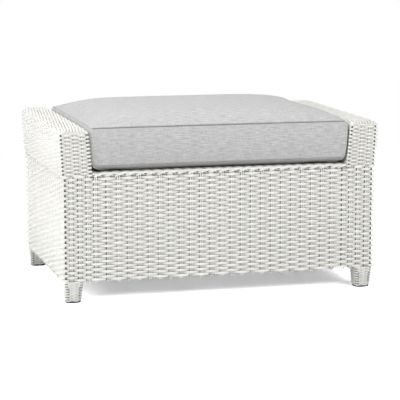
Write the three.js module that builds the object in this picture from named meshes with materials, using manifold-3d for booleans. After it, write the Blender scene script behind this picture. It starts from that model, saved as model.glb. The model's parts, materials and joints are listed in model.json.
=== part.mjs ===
// Outdoor ottoman footstool: a welded aluminium tube frame in woven resin skins, with a loose boxed cushion
// between two raised arms. Millimetres, +Z up, origin on the floor under the middle; the front faces -Y.

import * as THREE from 'three';
import { mergeVertices } from 'three/addons/utils/BufferGeometryUtils.js';
import Module from 'manifold-3d';

const wasm = await Module();
wasm.setup();

// Clearances
const FIT_GAP = 0.3;          // between pieces that touch
const CUT_OVERRUN = 1;        // how far a cutting tool passes its work

// Body, over the outside of the weave
const BODY_WIDTH = 838;
const BODY_DEPTH = 574;
const SKIRT_BOTTOM = 56;
const DECK_TOP = 334;
const SKIN_THICKNESS = 12;
const DECK_SKIN_THICKNESS = 8;

// Ribs that the strands make over the upright stakes of the skirt
const RIB_RELIEF = 3.5;       // from a rib's crest down to the valley beside it
const RIB_PITCH = 27.5;       // about, from stake to stake
const RIB_MARGIN = 117;       // from the body's corner to the first stake clear of an arm
const ARM_RIB_COUNT = 4;      // closer stakes in front of an arm
const ARM_RIB_MARGIN = 32.5;  // from the last of them to the first one clear of the arm
const CREST_WIDTH_SHARE = 0.4; // of the way from stake to stake

// Arms, above the deck
const ARM_TOP = 450;
const ARM_POST_SPACING = 4.4; // between the outer and the inner post inside an arm
const ARM_TAPER = 4.5;        // how much narrower an arm is at its top
const ARM_STEP = 3.5;         // how far an arm's outer skin stands proud of the skirt at deck height
const ARM_FLARE = 6.5;        // how far the outer face leans out from deck height to the top
const SHOULDER_LINING_RADIUS = 4;   // inside of the rounded shoulder

// Frame tubes
const POST_SIZE = 28;
const RAIL_SIZE = 25;
const ARM_TUBE_SIZE = 20;
const CROSS_BAR_SIZE = 20;
const TUBE_WALL = 2;
const BOTTOM_RAIL_LIFT = 4;   // bottom rail above the skirt's lower edge
const CROSS_BAR_COUNT = 3;

// Legs and foot glides
const LEG_FOOT_WALL = 5.2;    // wrap round the post at the foot
const LEG_FOOT_RADIUS = 13;
const LEG_HEAD_RADIUS = 12;
const LEG_BORE_RADIUS = 1;
const GLIDE_LIP = 1;          // glide outside the wrap
const GLIDE_THICKNESS = 4;
const GLIDE_CHAMFER = 1;
const PLUG_HEIGHT = 18;
const PLUG_RADIUS = 1.5;
const LEG_CORNER_STEPS = 4;

// Cushion
const CUSHION_SIDE_CLEARANCE = 2.5; // from an end's seam to the arm's foot
const CUSHION_FRONT_INSET = 15.5;   // front seam behind the body's front face
const CUSHION_BACK_INSET = 26.5;    // back seam inside the body's back face
const CUSHION_CORNER_RADIUS = 26;
const BOTTOM_SEAM_LIFT = 16;        // bottom seam above the deck
const BOXING_HEIGHT = 94;           // from seam to seam
const CROWN_HEIGHT = 40;            // top panel's middle above the top seam's front
const SEAM_BACK_LIFT = 9;           // how much higher the top seam lies at the back
const SIDE_DRAW_IN = 3;             // how far a side pulls in between its corners
const BOXING_BULGE = 2.5;
const COVER_THICKNESS = 1.2;
const CORNER_STEPS = 5;
const WIDE_SIDE_STEPS = 8;
const DEEP_SIDE_STEPS = 6;
const BOXING_STEPS = 3;
// Rings of the top panel from the seam to the middle, as shares of the outline
const CROWN_RING_SHARES = [1, 0.985, 0.955, 0.91, 0.84, 0.72, 0.5, 0.25];
const CROWN_WIDE_POWER = 4;
const CROWN_DEEP_POWER = 6;
const CROWN_ROUND_POWER = 0.5;
// Rings of the bottom panel: share of the outline, and share of the seam's lift that is left there
const BELLY_RING_SHARES = [[1, 1], [0.992, 0.5], [0.975, 0.15], [0.95, 0], [0.5, 0]];

// Zip in the cushion's back
const ZIP_HEIGHT = 8;
const ZIP_PROUD = 0.6;              // chain outside the cover
const ZIP_END_MARGIN = 14;          // from the chain's end to the slider at rest
const SLIDER_LENGTH = 12;
const SLIDER_HEIGHT = 11;
const SLIDER_THICKNESS = 3;
const LUG_LENGTH = 4.4;
const LUG_THICKNESS = 1.5;
const PIN_STANDOFF = 2.4;           // pin's axis above the slider's face
const PIN_RADIUS = 0.8;
const EYE_WALL = 0.9;
const PULL_LENGTH = 30;
const PULL_THICKNESS = 1.4;
const ROUND_SIDES = 16;

// Finishes
const WICKER = new THREE.MeshStandardMaterial({ color: '#f1efe9', roughness: 0.55, metalness: 0 });
const TUBE = new THREE.MeshStandardMaterial({ color: '#ecebe6', roughness: 0.4, metalness: 0.6 });
const GLIDE = new THREE.MeshStandardMaterial({ color: '#3c3c3e', roughness: 0.6, metalness: 0 });
const CLOTH = new THREE.MeshStandardMaterial({ color: '#c9cacb', roughness: 0.9, metalness: 0 });
const FOAM = new THREE.MeshStandardMaterial({ color: '#e8e4d4', roughness: 0.95, metalness: 0 });
const ZIP = new THREE.MeshStandardMaterial({ color: '#b4b6b8', roughness: 0.5, metalness: 0 });

// Planes that several pieces share
const halfWidth = BODY_WIDTH / 2;
const halfDepth = BODY_DEPTH / 2;
const armBase = DECK_TOP - DECK_SKIN_THICKNESS;
const railTop = armBase - FIT_GAP;
const armRise = ARM_TOP - armBase;
const insideWidth = halfWidth - SKIN_THICKNESS - FIT_GAP;     // where the frame's outer faces lie
const insideDepth = halfDepth - SKIN_THICKNESS - FIT_GAP;
const postX = insideWidth - POST_SIZE / 2;
const postY = insideDepth - POST_SIZE / 2;
const bottomRailBase = SKIRT_BOTTOM + BOTTOM_RAIL_LIFT;

// Outer and inner face of an arm at a height, measured out from the middle of the body
const armOuterAt = (z) => halfWidth + ARM_STEP + ARM_FLARE * (z - armBase) / armRise;
const armFootWidth = ARM_STEP + 2 * (SKIN_THICKNESS + FIT_GAP) + POST_SIZE + ARM_POST_SPACING + ARM_TUBE_SIZE;
const armInnerFoot = armOuterAt(armBase) - armFootWidth;
const armInnerHead = armOuterAt(ARM_TOP) - (armFootWidth - ARM_TAPER);
const armInnerAt = (z) => armInnerFoot + (armInnerHead - armInnerFoot) * (z - armBase) / armRise;
const shoulderRadius = SKIN_THICKNESS + SHOULDER_LINING_RADIUS;
const shoulderBase = ARM_TOP - shoulderRadius;

const ottoman = new THREE.Group();

// Adds a mesh under its own name.
function addPiece(name, geometry, material) {
  const mesh = new THREE.Mesh(geometry, material);
  mesh.name = name;
  ottoman.add(mesh);
  return mesh;
}

// A plain block between two corners.
function addBlock(name, low, high, material) {
  const size = high.map((value, axis) => value - low[axis]);
  const mesh = addPiece(name, new THREE.BoxGeometry(...size), material);
  mesh.position.set(...low.map((value, axis) => value + size[axis] / 2));
  return mesh;
}

// Triangles over rows of points, each row turning anticlockwise as seen from where the rows go. A row of one
// point closes to a tip, looped rows join the last one to the first, and open rows don't close on themselves.
function sheetIndex(rows, looped, open) {
  const starts = [];
  let count = 0;
  for (const row of rows) {
    starts.push(count);
    count += row.length;
  }
  const index = [];
  const bands = looped ? rows.length : rows.length - 1;
  for (let band = 0; band < bands; band += 1) {
    const next = (band + 1) % rows.length;
    const [lower, upper] = [rows[band], rows[next]];
    const points = Math.max(lower.length, upper.length);
    const sides = open ? points - 1 : points;
    for (let side = 0; side < sides; side += 1) {
      const turn = (side + 1) % points;
      const [a, b] = [side, turn].map((i) => starts[band] + i % lower.length);
      const [c, d] = [side, turn].map((i) => starts[next] + i % upper.length);
      if (a !== b) index.push(a, b, d);
      if (c !== d) index.push(a, d, c);
    }
  }
  return index;
}

function skinOver(points, index) {
  const geometry = new THREE.BufferGeometry();
  geometry.setAttribute('position', new THREE.Float32BufferAttribute(points.flatMap((p) => p.toArray()), 3));
  geometry.setIndex(index);
  return geometry;
}

// A closed skin over rings of points.
const loft = (rings, looped = false) => skinOver(rings.flat(), sheetIndex(rings, looped, false));

// A panel between two like sheets of points, the first facing out and the second in, with its edges closed.
// Both sheets are split into triangles alike, so that they stay parallel.
function loftPanel(outer, inner, open = false) {
  const face = sheetIndex(outer, false, open);
  const points = outer.flat();
  const lining = (i) => i + points.length;
  const index = [...face];
  const edges = new Map();
  for (let corner = 0; corner < face.length; corner += 3) {
    const [a, b, c] = face.slice(corner, corner + 3);
    index.push(lining(a), lining(c), lining(b));
    for (const [from, to] of [[a, b], [b, c], [c, a]]) edges.set(`${from} ${to}`, [from, to]);
  }
  for (const [from, to] of edges.values()) {
    if (edges.has(`${to} ${from}`)) continue;
    index.push(to, from, lining(from), to, lining(from), lining(to));
  }
  return skinOver([...points, ...inner.flat()], index);
}

// A square tube along X or Y, open at both ends, centred on the two other coordinates.
function addTube(name, axis, [start, end], centre, size) {
  const section = new THREE.Shape();
  const half = size / 2;
  const bore = half - TUBE_WALL;
  section.moveTo(-half, -half).lineTo(half, -half).lineTo(half, half).lineTo(-half, half).closePath();
  const hole = new THREE.Path();
  hole.moveTo(-bore, -bore).lineTo(-bore, bore).lineTo(bore, bore).lineTo(bore, -bore).closePath();
  section.holes.push(hole);
  const geometry = new THREE.ExtrudeGeometry(section, { depth: end - start, bevelEnabled: false });
  geometry.translate(0, 0, start);
  const mesh = addPiece(name, geometry, TUBE);
  if (axis === 'x') {
    mesh.rotation.y = Math.PI / 2;
    mesh.position.set(0, ...centre);
  } else {
    mesh.rotation.x = -Math.PI / 2;
    mesh.position.set(centre[0], 0, centre[1]);
  }
  return mesh;
}

// A corner of a square ring at a height.
const squareRing = (x, y, half, z) => [[-half, -half], [half, -half], [half, half], [-half, half]]
  .map(([dx, dy]) => new THREE.Vector3(x + dx, y + dy, z));

// An upright square tube whose centre moves with height, open at both ends.
function addUpright(name, centres, size) {
  const rings = (half) => centres.map(([x, y, z]) => squareRing(x, y, half, z));
  const bore = rings(size / 2 - TUBE_WALL).reverse();
  return addPiece(name, loft([...rings(size / 2), ...bore], true), TUBE);
}

// A ring of a square with rounded corners.
function roundedRing(x, y, width, radius, z) {
  const reach = width / 2 - radius;
  const ring = [];
  for (const [sx, sy, turn] of [[1, 1, 0], [-1, 1, 1], [-1, -1, 2], [1, -1, 3]]) {
    for (let step = 0; step <= LEG_CORNER_STEPS; step += 1) {
      const angle = (turn + step / LEG_CORNER_STEPS) * Math.PI / 2;
      ring.push(new THREE.Vector3(
        x + sx * reach + radius * Math.cos(angle),
        y + sy * reach + radius * Math.sin(angle),
        z,
      ));
    }
  }
  return ring;
}

// An outline in X and Z, given to the right of the middle, extruded along Y on either side of the body.
function addAlongDepth(name, side, outline, [front, back], material) {
  const points = outline.map(([x, z]) => new THREE.Vector2(side * x, z));
  const depth = back - front;
  const geometry = new THREE.ExtrudeGeometry(new THREE.Shape(points), { depth, bevelEnabled: false });
  const mesh = addPiece(name, geometry, material);
  mesh.rotation.x = Math.PI / 2;
  mesh.position.y = back;
  return mesh;
}

// Points of a quarter turn between two directions round a centre.
function quarterTurn(x, z, radius, from) {
  const steps = LEG_CORNER_STEPS;
  return Array.from({ length: steps + 1 }, (_, step) => {
    const angle = from + step / steps * Math.PI / 2;
    return [x + radius * Math.cos(angle), z + radius * Math.sin(angle)];
  });
}

// Rounded head of an arm from its outer shoulder to its inner one, as a list of X and Z.
function armHead() {
  const outer = armOuterAt(shoulderBase) - shoulderRadius;
  const inner = armInnerAt(shoulderBase) + shoulderRadius;
  return [
    ...quarterTurn(outer, shoulderBase, shoulderRadius, 0),
    ...quarterTurn(inner, shoulderBase, shoulderRadius, Math.PI / 2),
  ];
}

const SIDES = [['left', -1], ['right', 1]];
const ENDS = [['front', -1], ['back', 1]];

// Corner posts, from the foot glide up to the arm's outer rail, leaning out above the deck.
function addCornerPosts() {
  const railBase = ARM_TOP - SKIN_THICKNESS - FIT_GAP - ARM_TUBE_SIZE;
  const headX = armOuterAt(railBase) - SKIN_THICKNESS - FIT_GAP - POST_SIZE / 2;
  for (const [sideName, side] of SIDES) {
    for (const [endName, end] of ENDS) {
      addUpright(`corner_post_${endName}_${sideName}`, [
        [side * postX, end * postY, GLIDE_THICKNESS + FIT_GAP],
        [side * postX, end * postY, armBase],
        [side * headX, end * postY, railBase - FIT_GAP],
      ], POST_SIZE);
    }
  }
}

// Rails at the bottom and at deck height, all with their outer faces on the inside of the skins.
function addRails() {
  const acrossX = insideWidth - RAIL_SIZE / 2;
  const acrossY = insideDepth - RAIL_SIZE / 2;
  const bottomZ = bottomRailBase + RAIL_SIZE / 2;
  const deckZ = railTop - RAIL_SIZE / 2;
  const spanX = postX - POST_SIZE / 2 - FIT_GAP;
  const spanY = postY - POST_SIZE / 2 - FIT_GAP;
  for (const [endName, end] of ENDS) {
    addTube(`bottom_rail_${endName}`, 'x', [-spanX, spanX], [end * acrossY, bottomZ], RAIL_SIZE);
    addTube(`deck_rail_${endName}`, 'x', [-spanX, spanX], [end * acrossY, deckZ], RAIL_SIZE);
  }
  for (const [sideName, side] of SIDES) {
    addTube(`bottom_rail_${sideName}`, 'y', [-spanY, spanY], [side * acrossX, bottomZ], RAIL_SIZE);
    addTube(`side_rail_outer_${sideName}`, 'y', [-spanY, spanY], [side * acrossX, deckZ], RAIL_SIZE);
  }
  const innerSpan = acrossY - RAIL_SIZE / 2 - FIT_GAP;
  const inner = [-innerSpan, innerSpan];
  for (const [sideName, side] of SIDES) {
    addTube(`side_rail_inner_${sideName}`, 'y', inner, [side * armInnerFoot, deckZ], RAIL_SIZE);
  }
  const barPitch = 2 * armInnerFoot / (CROSS_BAR_COUNT + 1);
  const barZ = railTop - CROSS_BAR_SIZE / 2;
  for (let bar = 1; bar <= CROSS_BAR_COUNT; bar += 1) {
    addTube(`deck_cross_bar_${bar}`, 'y', inner, [-armInnerFoot + bar * barPitch, barZ], CROSS_BAR_SIZE);
  }
}

// Arm frame: an outer and an inner top rail, and the inner posts that stand on the deck rails.
function addArmFrame() {
  const railZ = ARM_TOP - SKIN_THICKNESS - FIT_GAP - ARM_TUBE_SIZE / 2;
  const railBase = railZ - ARM_TUBE_SIZE / 2;
  const inward = SKIN_THICKNESS + FIT_GAP + ARM_TUBE_SIZE / 2;
  const outerX = armOuterAt(railBase) - inward;
  const innerX = armInnerAt(ARM_TOP) + inward;
  const postFoot = armInnerAt(armBase) + inward;
  const innerPostY = insideDepth - RAIL_SIZE / 2;
  const span = [-insideDepth, insideDepth];
  for (const [sideName, side] of SIDES) {
    addTube(`arm_rail_outer_${sideName}`, 'y', span, [side * outerX, railZ], ARM_TUBE_SIZE);
    addTube(`arm_rail_inner_${sideName}`, 'y', span, [side * innerX, railZ], ARM_TUBE_SIZE);
    for (const [endName, end] of ENDS) {
      addUpright(`arm_inner_post_${endName}_${sideName}`, [
        [side * postFoot, end * innerPostY, armBase],
        [side * innerX, end * innerPostY, railBase - FIT_GAP],
      ], ARM_TUBE_SIZE);
    }
  }
}

// The two faces of a skin on one side of the body, in rising order.
const skinFaces = (side, reach) => [side * reach, side * (reach - SKIN_THICKNESS)].sort((a, b) => a - b);

// Places between two ends, evenly spaced about one pitch apart, both ends included.
function evenPlaces(from, to, pitch) {
  const count = Math.round((to - from) / pitch);
  return Array.from({ length: count + 1 }, (_, i) => from + (to - from) * i / count);
}

// Places of the stakes across the front and the back, closer together in front of the arms.
function wideStakes() {
  const clear = halfWidth - RIB_MARGIN;
  const armReach = RIB_MARGIN - ARM_RIB_MARGIN;
  const beside = Array.from({ length: ARM_RIB_COUNT }, (_, i) => halfWidth - armReach * (i + 1) / ARM_RIB_COUNT);
  return [...beside.map((x) => -x), ...evenPlaces(-clear, clear, RIB_PITCH), ...beside.reverse()];
}

// Outline of a ribbed skin seen from above, with its crests at a depth of zero: a rib over each stake and one
// at either end, with a valley between each two.
function ribbedOutline(reach, stakes) {
  const ribs = [-reach, ...stakes, reach];
  const points = [[-reach, 0]];
  for (let rib = 1; rib < ribs.length; rib += 1) {
    const [from, to] = [ribs[rib - 1], ribs[rib]];
    const crest = (to - from) * CREST_WIDTH_SHARE / 2;
    points.push([from + crest, 0], [(from + to) / 2, RIB_RELIEF], [to - crest, 0]);
  }
  points.push([reach, 0], [reach, SKIN_THICKNESS], [-reach, SKIN_THICKNESS]);
  return points;
}

// A ribbed skirt skin. The outline's run and depth become X and Y through the given function.
function addSkirtSkin(name, outline, place) {
  const points = outline.map(([run, depth]) => new THREE.Vector2(...place(run, depth)));
  const depth = railTop - SKIRT_BOTTOM;
  const geometry = new THREE.ExtrudeGeometry(new THREE.Shape(points), { depth, bevelEnabled: false });
  addPiece(name, geometry, WICKER).position.z = SKIRT_BOTTOM;
}

// Skirt skins under the deck, the deck skin and its two rolled borders.
function addSkirtAndDeck() {
  const deckX = armInnerFoot - FIT_GAP;
  const wide = ribbedOutline(halfWidth, wideStakes());
  const deep = ribbedOutline(insideDepth, evenPlaces(-insideDepth, insideDepth, RIB_PITCH).slice(1, -1));
  for (const [endName, end] of ENDS) {
    const [near, far] = skinFaces(end, halfDepth);
    addSkirtSkin(`${endName}_skin`, wide, (run, depth) => [run, end * (halfDepth - depth)]);
    addBlock(`deck_border_${endName}`, [-deckX, near, armBase], [deckX, far, DECK_TOP], WICKER);
  }
  for (const [sideName, side] of SIDES) {
    addSkirtSkin(`${sideName}_skin`, deep, (run, depth) => [side * (halfWidth - depth), run]);
  }
  addBlock('deck_skin', [-deckX, -insideDepth, armBase], [deckX, insideDepth, DECK_TOP], WICKER);
}

// Arm skins: outer, inner, rounded top, and the two end faces.
function addArmSkins() {
  const between = [-insideDepth, insideDepth];
  const wallTop = shoulderBase - FIT_GAP;
  const crownBase = ARM_TOP - SKIN_THICKNESS;
  const outerWall = [
    [armOuterAt(armBase) - SKIN_THICKNESS, armBase], [armOuterAt(armBase), armBase],
    [armOuterAt(wallTop), wallTop], [armOuterAt(wallTop) - SKIN_THICKNESS, wallTop],
  ];
  const innerWall = [
    [armInnerAt(armBase), armBase], [armInnerAt(armBase) + SKIN_THICKNESS, armBase],
    [armInnerAt(wallTop) + SKIN_THICKNESS, wallTop], [armInnerAt(wallTop), wallTop],
  ];
  const liningInner = armInnerAt(shoulderBase) + SKIN_THICKNESS;
  const liningOuter = armOuterAt(shoulderBase) - SKIN_THICKNESS;
  const head = [
    ...armHead(),
    [liningInner, shoulderBase], [liningInner, crownBase],
    [liningOuter, crownBase], [liningOuter, shoulderBase],
  ];
  const endFace = [[armInnerAt(armBase), armBase], [armOuterAt(armBase), armBase], ...armHead()];
  for (const [sideName, side] of SIDES) {
    addAlongDepth(`arm_skin_outer_${sideName}`, side, outerWall, between, WICKER);
    addAlongDepth(`arm_skin_inner_${sideName}`, side, innerWall, between, WICKER);
    addAlongDepth(`arm_skin_top_${sideName}`, side, head, between, WICKER);
    for (const [endName, end] of ENDS) {
      addAlongDepth(`arm_skin_${endName}_${sideName}`, side, endFace, skinFaces(end, halfDepth), WICKER);
    }
  }
}

// Tapered leg wraps round the posts, and the glides plugged into them.
function addFeet() {
  const headWidth = 2 * (halfWidth - postX);
  const footWidth = POST_SIZE + 2 * (FIT_GAP + LEG_FOOT_WALL);
  const glideWidth = footWidth + 2 * GLIDE_LIP;
  const glideRadius = LEG_FOOT_RADIUS + GLIDE_LIP;
  const wrapBase = GLIDE_THICKNESS + FIT_GAP;
  const wrapTop = SKIRT_BOTTOM - FIT_GAP;
  const boreWidth = POST_SIZE + 2 * FIT_GAP;
  const plugWidth = POST_SIZE - 2 * (TUBE_WALL + FIT_GAP);
  for (const [sideName, side] of SIDES) {
    for (const [endName, end] of ENDS) {
      const [x, y] = [side * postX, end * postY];
      addPiece(`leg_wrap_${endName}_${sideName}`, loft([
        roundedRing(x, y, footWidth, LEG_FOOT_RADIUS, wrapBase),
        roundedRing(x, y, headWidth, LEG_HEAD_RADIUS, wrapTop),
        roundedRing(x, y, boreWidth, LEG_BORE_RADIUS, wrapTop),
        roundedRing(x, y, boreWidth, LEG_BORE_RADIUS, wrapBase),
      ], true), WICKER);
      addPiece(`foot_glide_${endName}_${sideName}`, loft([
        [new THREE.Vector3(x, y, 0)],
        roundedRing(x, y, glideWidth - 2 * GLIDE_CHAMFER, glideRadius - GLIDE_CHAMFER, 0),
        roundedRing(x, y, glideWidth, glideRadius, GLIDE_CHAMFER),
        roundedRing(x, y, glideWidth, glideRadius, GLIDE_THICKNESS),
        roundedRing(x, y, plugWidth, PLUG_RADIUS, GLIDE_THICKNESS),
        roundedRing(x, y, plugWidth, PLUG_RADIUS, GLIDE_THICKNESS + PLUG_HEIGHT),
        [new THREE.Vector3(x, y, GLIDE_THICKNESS + PLUG_HEIGHT)],
      ]), GLIDE);
    }
  }
}

// The cushion's seams and centre
const cushionBase = DECK_TOP + FIT_GAP;
const lowerSeam = cushionBase + BOTTOM_SEAM_LIFT;
const upperSeam = lowerSeam + BOXING_HEIGHT;
const cushionWidth = 2 * (armInnerFoot - CUSHION_SIDE_CLEARANCE);
const cushionDepth = BODY_DEPTH - CUSHION_FRONT_INSET - CUSHION_BACK_INSET;
const cushionY = (CUSHION_FRONT_INSET - CUSHION_BACK_INSET) / 2;
const zipZ = (lowerSeam + upperSeam) / 2;

// Outline of the cushion seen from above, anticlockwise from the back side's left end, set in all round.
// The front and the two ends draw in between their corners; the back is kept straight by its zip.
function cushionOutline(inset) {
  const halfX = cushionWidth / 2 - inset;
  const halfY = cushionDepth / 2 - inset;
  const radius = CUSHION_CORNER_RADIUS - inset;
  const [reachX, reachY] = [halfX - radius, halfY - radius];
  const runs = [
    { normal: [-1, 0], reach: reachY, steps: DEEP_SIDE_STEPS, drawIn: SIDE_DRAW_IN },
    { normal: [0, -1], reach: reachX, steps: WIDE_SIDE_STEPS, drawIn: SIDE_DRAW_IN },
    { normal: [1, 0], reach: reachY, steps: DEEP_SIDE_STEPS, drawIn: SIDE_DRAW_IN },
    { normal: [0, 1], reach: reachX, steps: WIDE_SIDE_STEPS, drawIn: 0 },
  ];
  const points = [];
  const addCorner = (sx, sy, from) => {
    for (let step = 0; step < CORNER_STEPS; step += 1) {
      const angle = from + step / CORNER_STEPS * Math.PI / 2;
      points.push([sx * reachX + radius * Math.cos(angle), sy * reachY + radius * Math.sin(angle)]);
    }
  };
  const addSide = ({ normal: [nx, ny], reach, steps, drawIn }) => {
    for (let step = 0; step < steps; step += 1) {
      const share = 2 * step / steps - 1;
      const pulled = drawIn * (1 - share * share);
      points.push([
        nx * (halfX - pulled) - ny * reach * share,
        ny * (halfY - pulled) + nx * reach * share,
      ]);
    }
  };
  addCorner(-1, 1, Math.PI / 2);
  addSide(runs[0]);
  addCorner(-1, -1, Math.PI);
  addSide(runs[1]);
  addCorner(1, -1, 3 * Math.PI / 2);
  addSide(runs[2]);
  addCorner(1, 1, 0);
  addSide(runs[3]);
  return points;
}

const outlineCount = 4 * CORNER_STEPS + 2 * (WIDE_SIDE_STEPS + DEEP_SIDE_STEPS);
const backStart = outlineCount - WIDE_SIDE_STEPS;

// A ring of the cushion: the outline set in, scaled about the middle, at a height. Rings turn into ellipses
// towards the middle, so the panel has no ridge from corner to corner.
function cushionRing(inset, share, z) {
  const outer = cushionOutline(0);
  return cushionOutline(inset).map(([x, y], i) => {
    const reach = Math.hypot(outer[i][0] / (cushionWidth / 2), outer[i][1] / (cushionDepth / 2));
    const scale = share * (share + (1 - share) / reach);
    return new THREE.Vector3(x * scale, cushionY + y * scale, z);
  });
}

// How much higher the top seam lies at a place than at the cushion's front.
const seamLift = (y) => SEAM_BACK_LIFT * ((y - cushionY) / cushionDepth + 1 / 2);

// A ring of the boxing, at a share of the way up from the lower seam to the top seam. The ends of that way can
// be moved in from the seams. The ring bulges out between them except along the back.
function boxingRing(inset, share, seamGap) {
  const bulge = 4 * BOXING_BULGE * share * (1 - share);
  const flat = cushionOutline(inset);
  const full = cushionOutline(inset - bulge);
  return flat.map((point, i) => {
    const isBack = i >= backStart || i === 0;
    const [x, y] = isBack ? point : full[i];
    const rise = BOXING_HEIGHT - 2 * seamGap + seamLift(cushionY + point[1]);
    return new THREE.Vector3(x, cushionY + y, lowerSeam + seamGap + rise * share);
  });
}

// Lifts a flat ring onto the crown: square shoulders at the front and back and rounder ones at the two ends.
// The outermost ring stays on the seam.
function crownRing(ring, share, inset, seamZ) {
  const top = upperSeam + CROWN_HEIGHT - inset;
  const shoulder = (place, reach, power) => 1 - Math.min(1, Math.abs(place / reach)) ** power;
  for (const point of ring) {
    const hump = share === 1 ? 0 : (
      shoulder(point.x, cushionWidth / 2 - inset, CROWN_WIDE_POWER)
      * shoulder(point.y - cushionY, cushionDepth / 2 - inset, CROWN_DEEP_POWER)
    ) ** CROWN_ROUND_POWER;
    const seam = seamZ + seamLift(point.y);
    point.z = seam + (top - seam) * hump;
  }
  return ring;
}

// Rings of the crowned top from the seam to the middle, ending in a single point.
function crownRings(inset, seamZ) {
  const rings = CROWN_RING_SHARES.map((share) => crownRing(cushionRing(inset, share, seamZ), share, inset, seamZ));
  return [...rings, crownRing([new THREE.Vector3(0, cushionY, seamZ)], 0, inset, seamZ)];
}

// Rings of the bottom from the middle out to the seam, flat where it rests on the deck.
function bellyRings(inset, seamZ) {
  const rest = cushionBase + inset;
  return [
    [new THREE.Vector3(0, cushionY, rest)],
    ...[...BELLY_RING_SHARES].reverse()
      .map(([share, left]) => cushionRing(inset, share, rest + (seamZ - rest) * left)),
  ];
}

// Evenly spaced rings of the boxing, as shares of the way from seam to seam, both ends included.
const boxingShares = Array.from({ length: BOXING_STEPS + 1 }, (_, i) => i / BOXING_STEPS);

// The boxing from the back's left end round the front to its right end, from seam to seam.
function boxingStrip(seamGap) {
  const strip = (inset) => boxingShares.map((share) => boxingRing(inset, share, seamGap).slice(0, backStart + 1));
  return loftPanel(strip(0), strip(COVER_THICKNESS), true);
}

// Cover panels over the foam core. The back corner points belong to both the long strip and the zip boxing,
// so the strips stop short of each other by the fit gap.
function addCushion() {
  const seamGap = FIT_GAP / 2;
  const coreInset = COVER_THICKNESS + FIT_GAP;
  addPiece('cushion_core', loft([
    ...bellyRings(coreInset, lowerSeam),
    ...boxingShares.slice(1, -1).map((share) => boxingRing(coreInset, share, 0)),
    ...crownRings(coreInset, upperSeam),
  ]), FOAM);
  const [topZ, bottomZ] = [upperSeam + seamGap, lowerSeam - seamGap];
  const topPanel = loftPanel(crownRings(0, topZ), crownRings(COVER_THICKNESS, topZ));
  const bottomPanel = loftPanel(bellyRings(0, bottomZ), bellyRings(COVER_THICKNESS, bottomZ));
  addPiece('cushion_top_panel', topPanel, CLOTH);
  addPiece('cushion_bottom_panel', bottomPanel, CLOTH);
  addPiece('cushion_boxing', boxingStrip(seamGap), CLOTH);
  addZipBoxing(seamGap);
}

// The two halves of the back boxing and the zip chain between them.
function addZipBoxing(seamGap) {
  const end = cushionWidth / 2 - CUSHION_CORNER_RADIUS - FIT_GAP;
  const outerY = cushionY + cushionDepth / 2;
  const innerY = outerY - COVER_THICKNESS;
  const zipTop = zipZ + ZIP_HEIGHT / 2;
  const zipBottom = zipZ - ZIP_HEIGHT / 2;
  const [top, bottom] = [upperSeam + SEAM_BACK_LIFT - seamGap, lowerSeam + seamGap];
  addBlock('zip_boxing_upper', [-end, innerY, zipTop + FIT_GAP], [end, outerY, top], CLOTH);
  addBlock('zip_boxing_lower', [-end, innerY, bottom], [end, outerY, zipBottom - FIT_GAP], CLOTH);
  const chainBack = outerY + ZIP_PROUD;
  addBlock('zip_chain', [-end, innerY, zipBottom], [end, chainBack, zipTop], ZIP);
  addSlider(end - ZIP_END_MARGIN, chainBack + FIT_GAP);
}

// A closed mesh as a solid for joining and cutting.
function toSolid(geometry) {
  const bare = geometry.index ? geometry.toNonIndexed() : geometry.clone();
  bare.deleteAttribute('normal');
  bare.deleteAttribute('uv');
  const merged = mergeVertices(bare);
  return new wasm.Manifold(new wasm.Mesh({
    numProp: 3,
    vertProperties: new Float32Array(merged.getAttribute('position').array),
    triVerts: new Uint32Array(merged.getIndex().array),
  }));
}

function fromSolid(solid) {
  const mesh = solid.getMesh();
  const geometry = new THREE.BufferGeometry();
  geometry.setAttribute('position', new THREE.Float32BufferAttribute(mesh.vertProperties, 3));
  geometry.setIndex([...mesh.triVerts]);
  return geometry;
}

const blockSolid = (low, high) => {
  const size = high.map((value, axis) => value - low[axis]);
  const geometry = new THREE.BoxGeometry(...size);
  geometry.translate(...low.map((value, axis) => value + size[axis] / 2));
  return toSolid(geometry);
};

// A round bar along Z, centred at a point.
const barSolid = (x, y, z, radius, length) => {
  const geometry = new THREE.CylinderGeometry(radius, radius, length, ROUND_SIDES);
  geometry.rotateX(Math.PI / 2);
  geometry.translate(x, y, z);
  return toSolid(geometry);
};

// The slider on the chain's outside, and the pull tab on the pin between its lugs.
function addSlider(restX, faceY) {
  const backY = faceY + SLIDER_THICKNESS;
  const pinY = backY + PIN_STANDOFF;
  const lugOuter = SLIDER_HEIGHT / 2;
  const lugInner = lugOuter - LUG_THICKNESS;
  const eyeRadius = PIN_RADIUS + FIT_GAP + EYE_WALL;
  const lug = (low, high) => blockSolid(
    [restX - LUG_LENGTH / 2, faceY, zipZ + low],
    [restX + LUG_LENGTH / 2, pinY + PIN_RADIUS + FIT_GAP, zipZ + high],
  );
  const slider = blockSolid(
    [restX - SLIDER_LENGTH / 2, faceY, zipZ - lugOuter],
    [restX + SLIDER_LENGTH / 2, backY, zipZ + lugOuter],
  ).add(lug(-lugOuter, -lugInner))
    .add(lug(lugInner, lugOuter))
    .add(barSolid(restX, pinY, zipZ, PIN_RADIUS, 2 * lugOuter));
  addPiece('zip_slider', fromSolid(slider), ZIP);
  const tabHalf = lugInner - FIT_GAP;
  const tab = blockSolid(
    [restX - PULL_LENGTH, pinY - PULL_THICKNESS / 2, zipZ - tabHalf],
    [restX, pinY + PULL_THICKNESS / 2, zipZ + tabHalf],
  ).add(barSolid(restX, pinY, zipZ, eyeRadius, 2 * tabHalf))
    .subtract(barSolid(restX, pinY, zipZ, PIN_RADIUS + FIT_GAP, 2 * (tabHalf + CUT_OVERRUN)));
  addPiece('zip_pull_tab', fromSolid(tab), ZIP);
}

addCornerPosts();
addRails();
addArmFrame();
addSkirtAndDeck();
addArmSkins();
addFeet();
addCushion();

export default ottoman;
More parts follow.
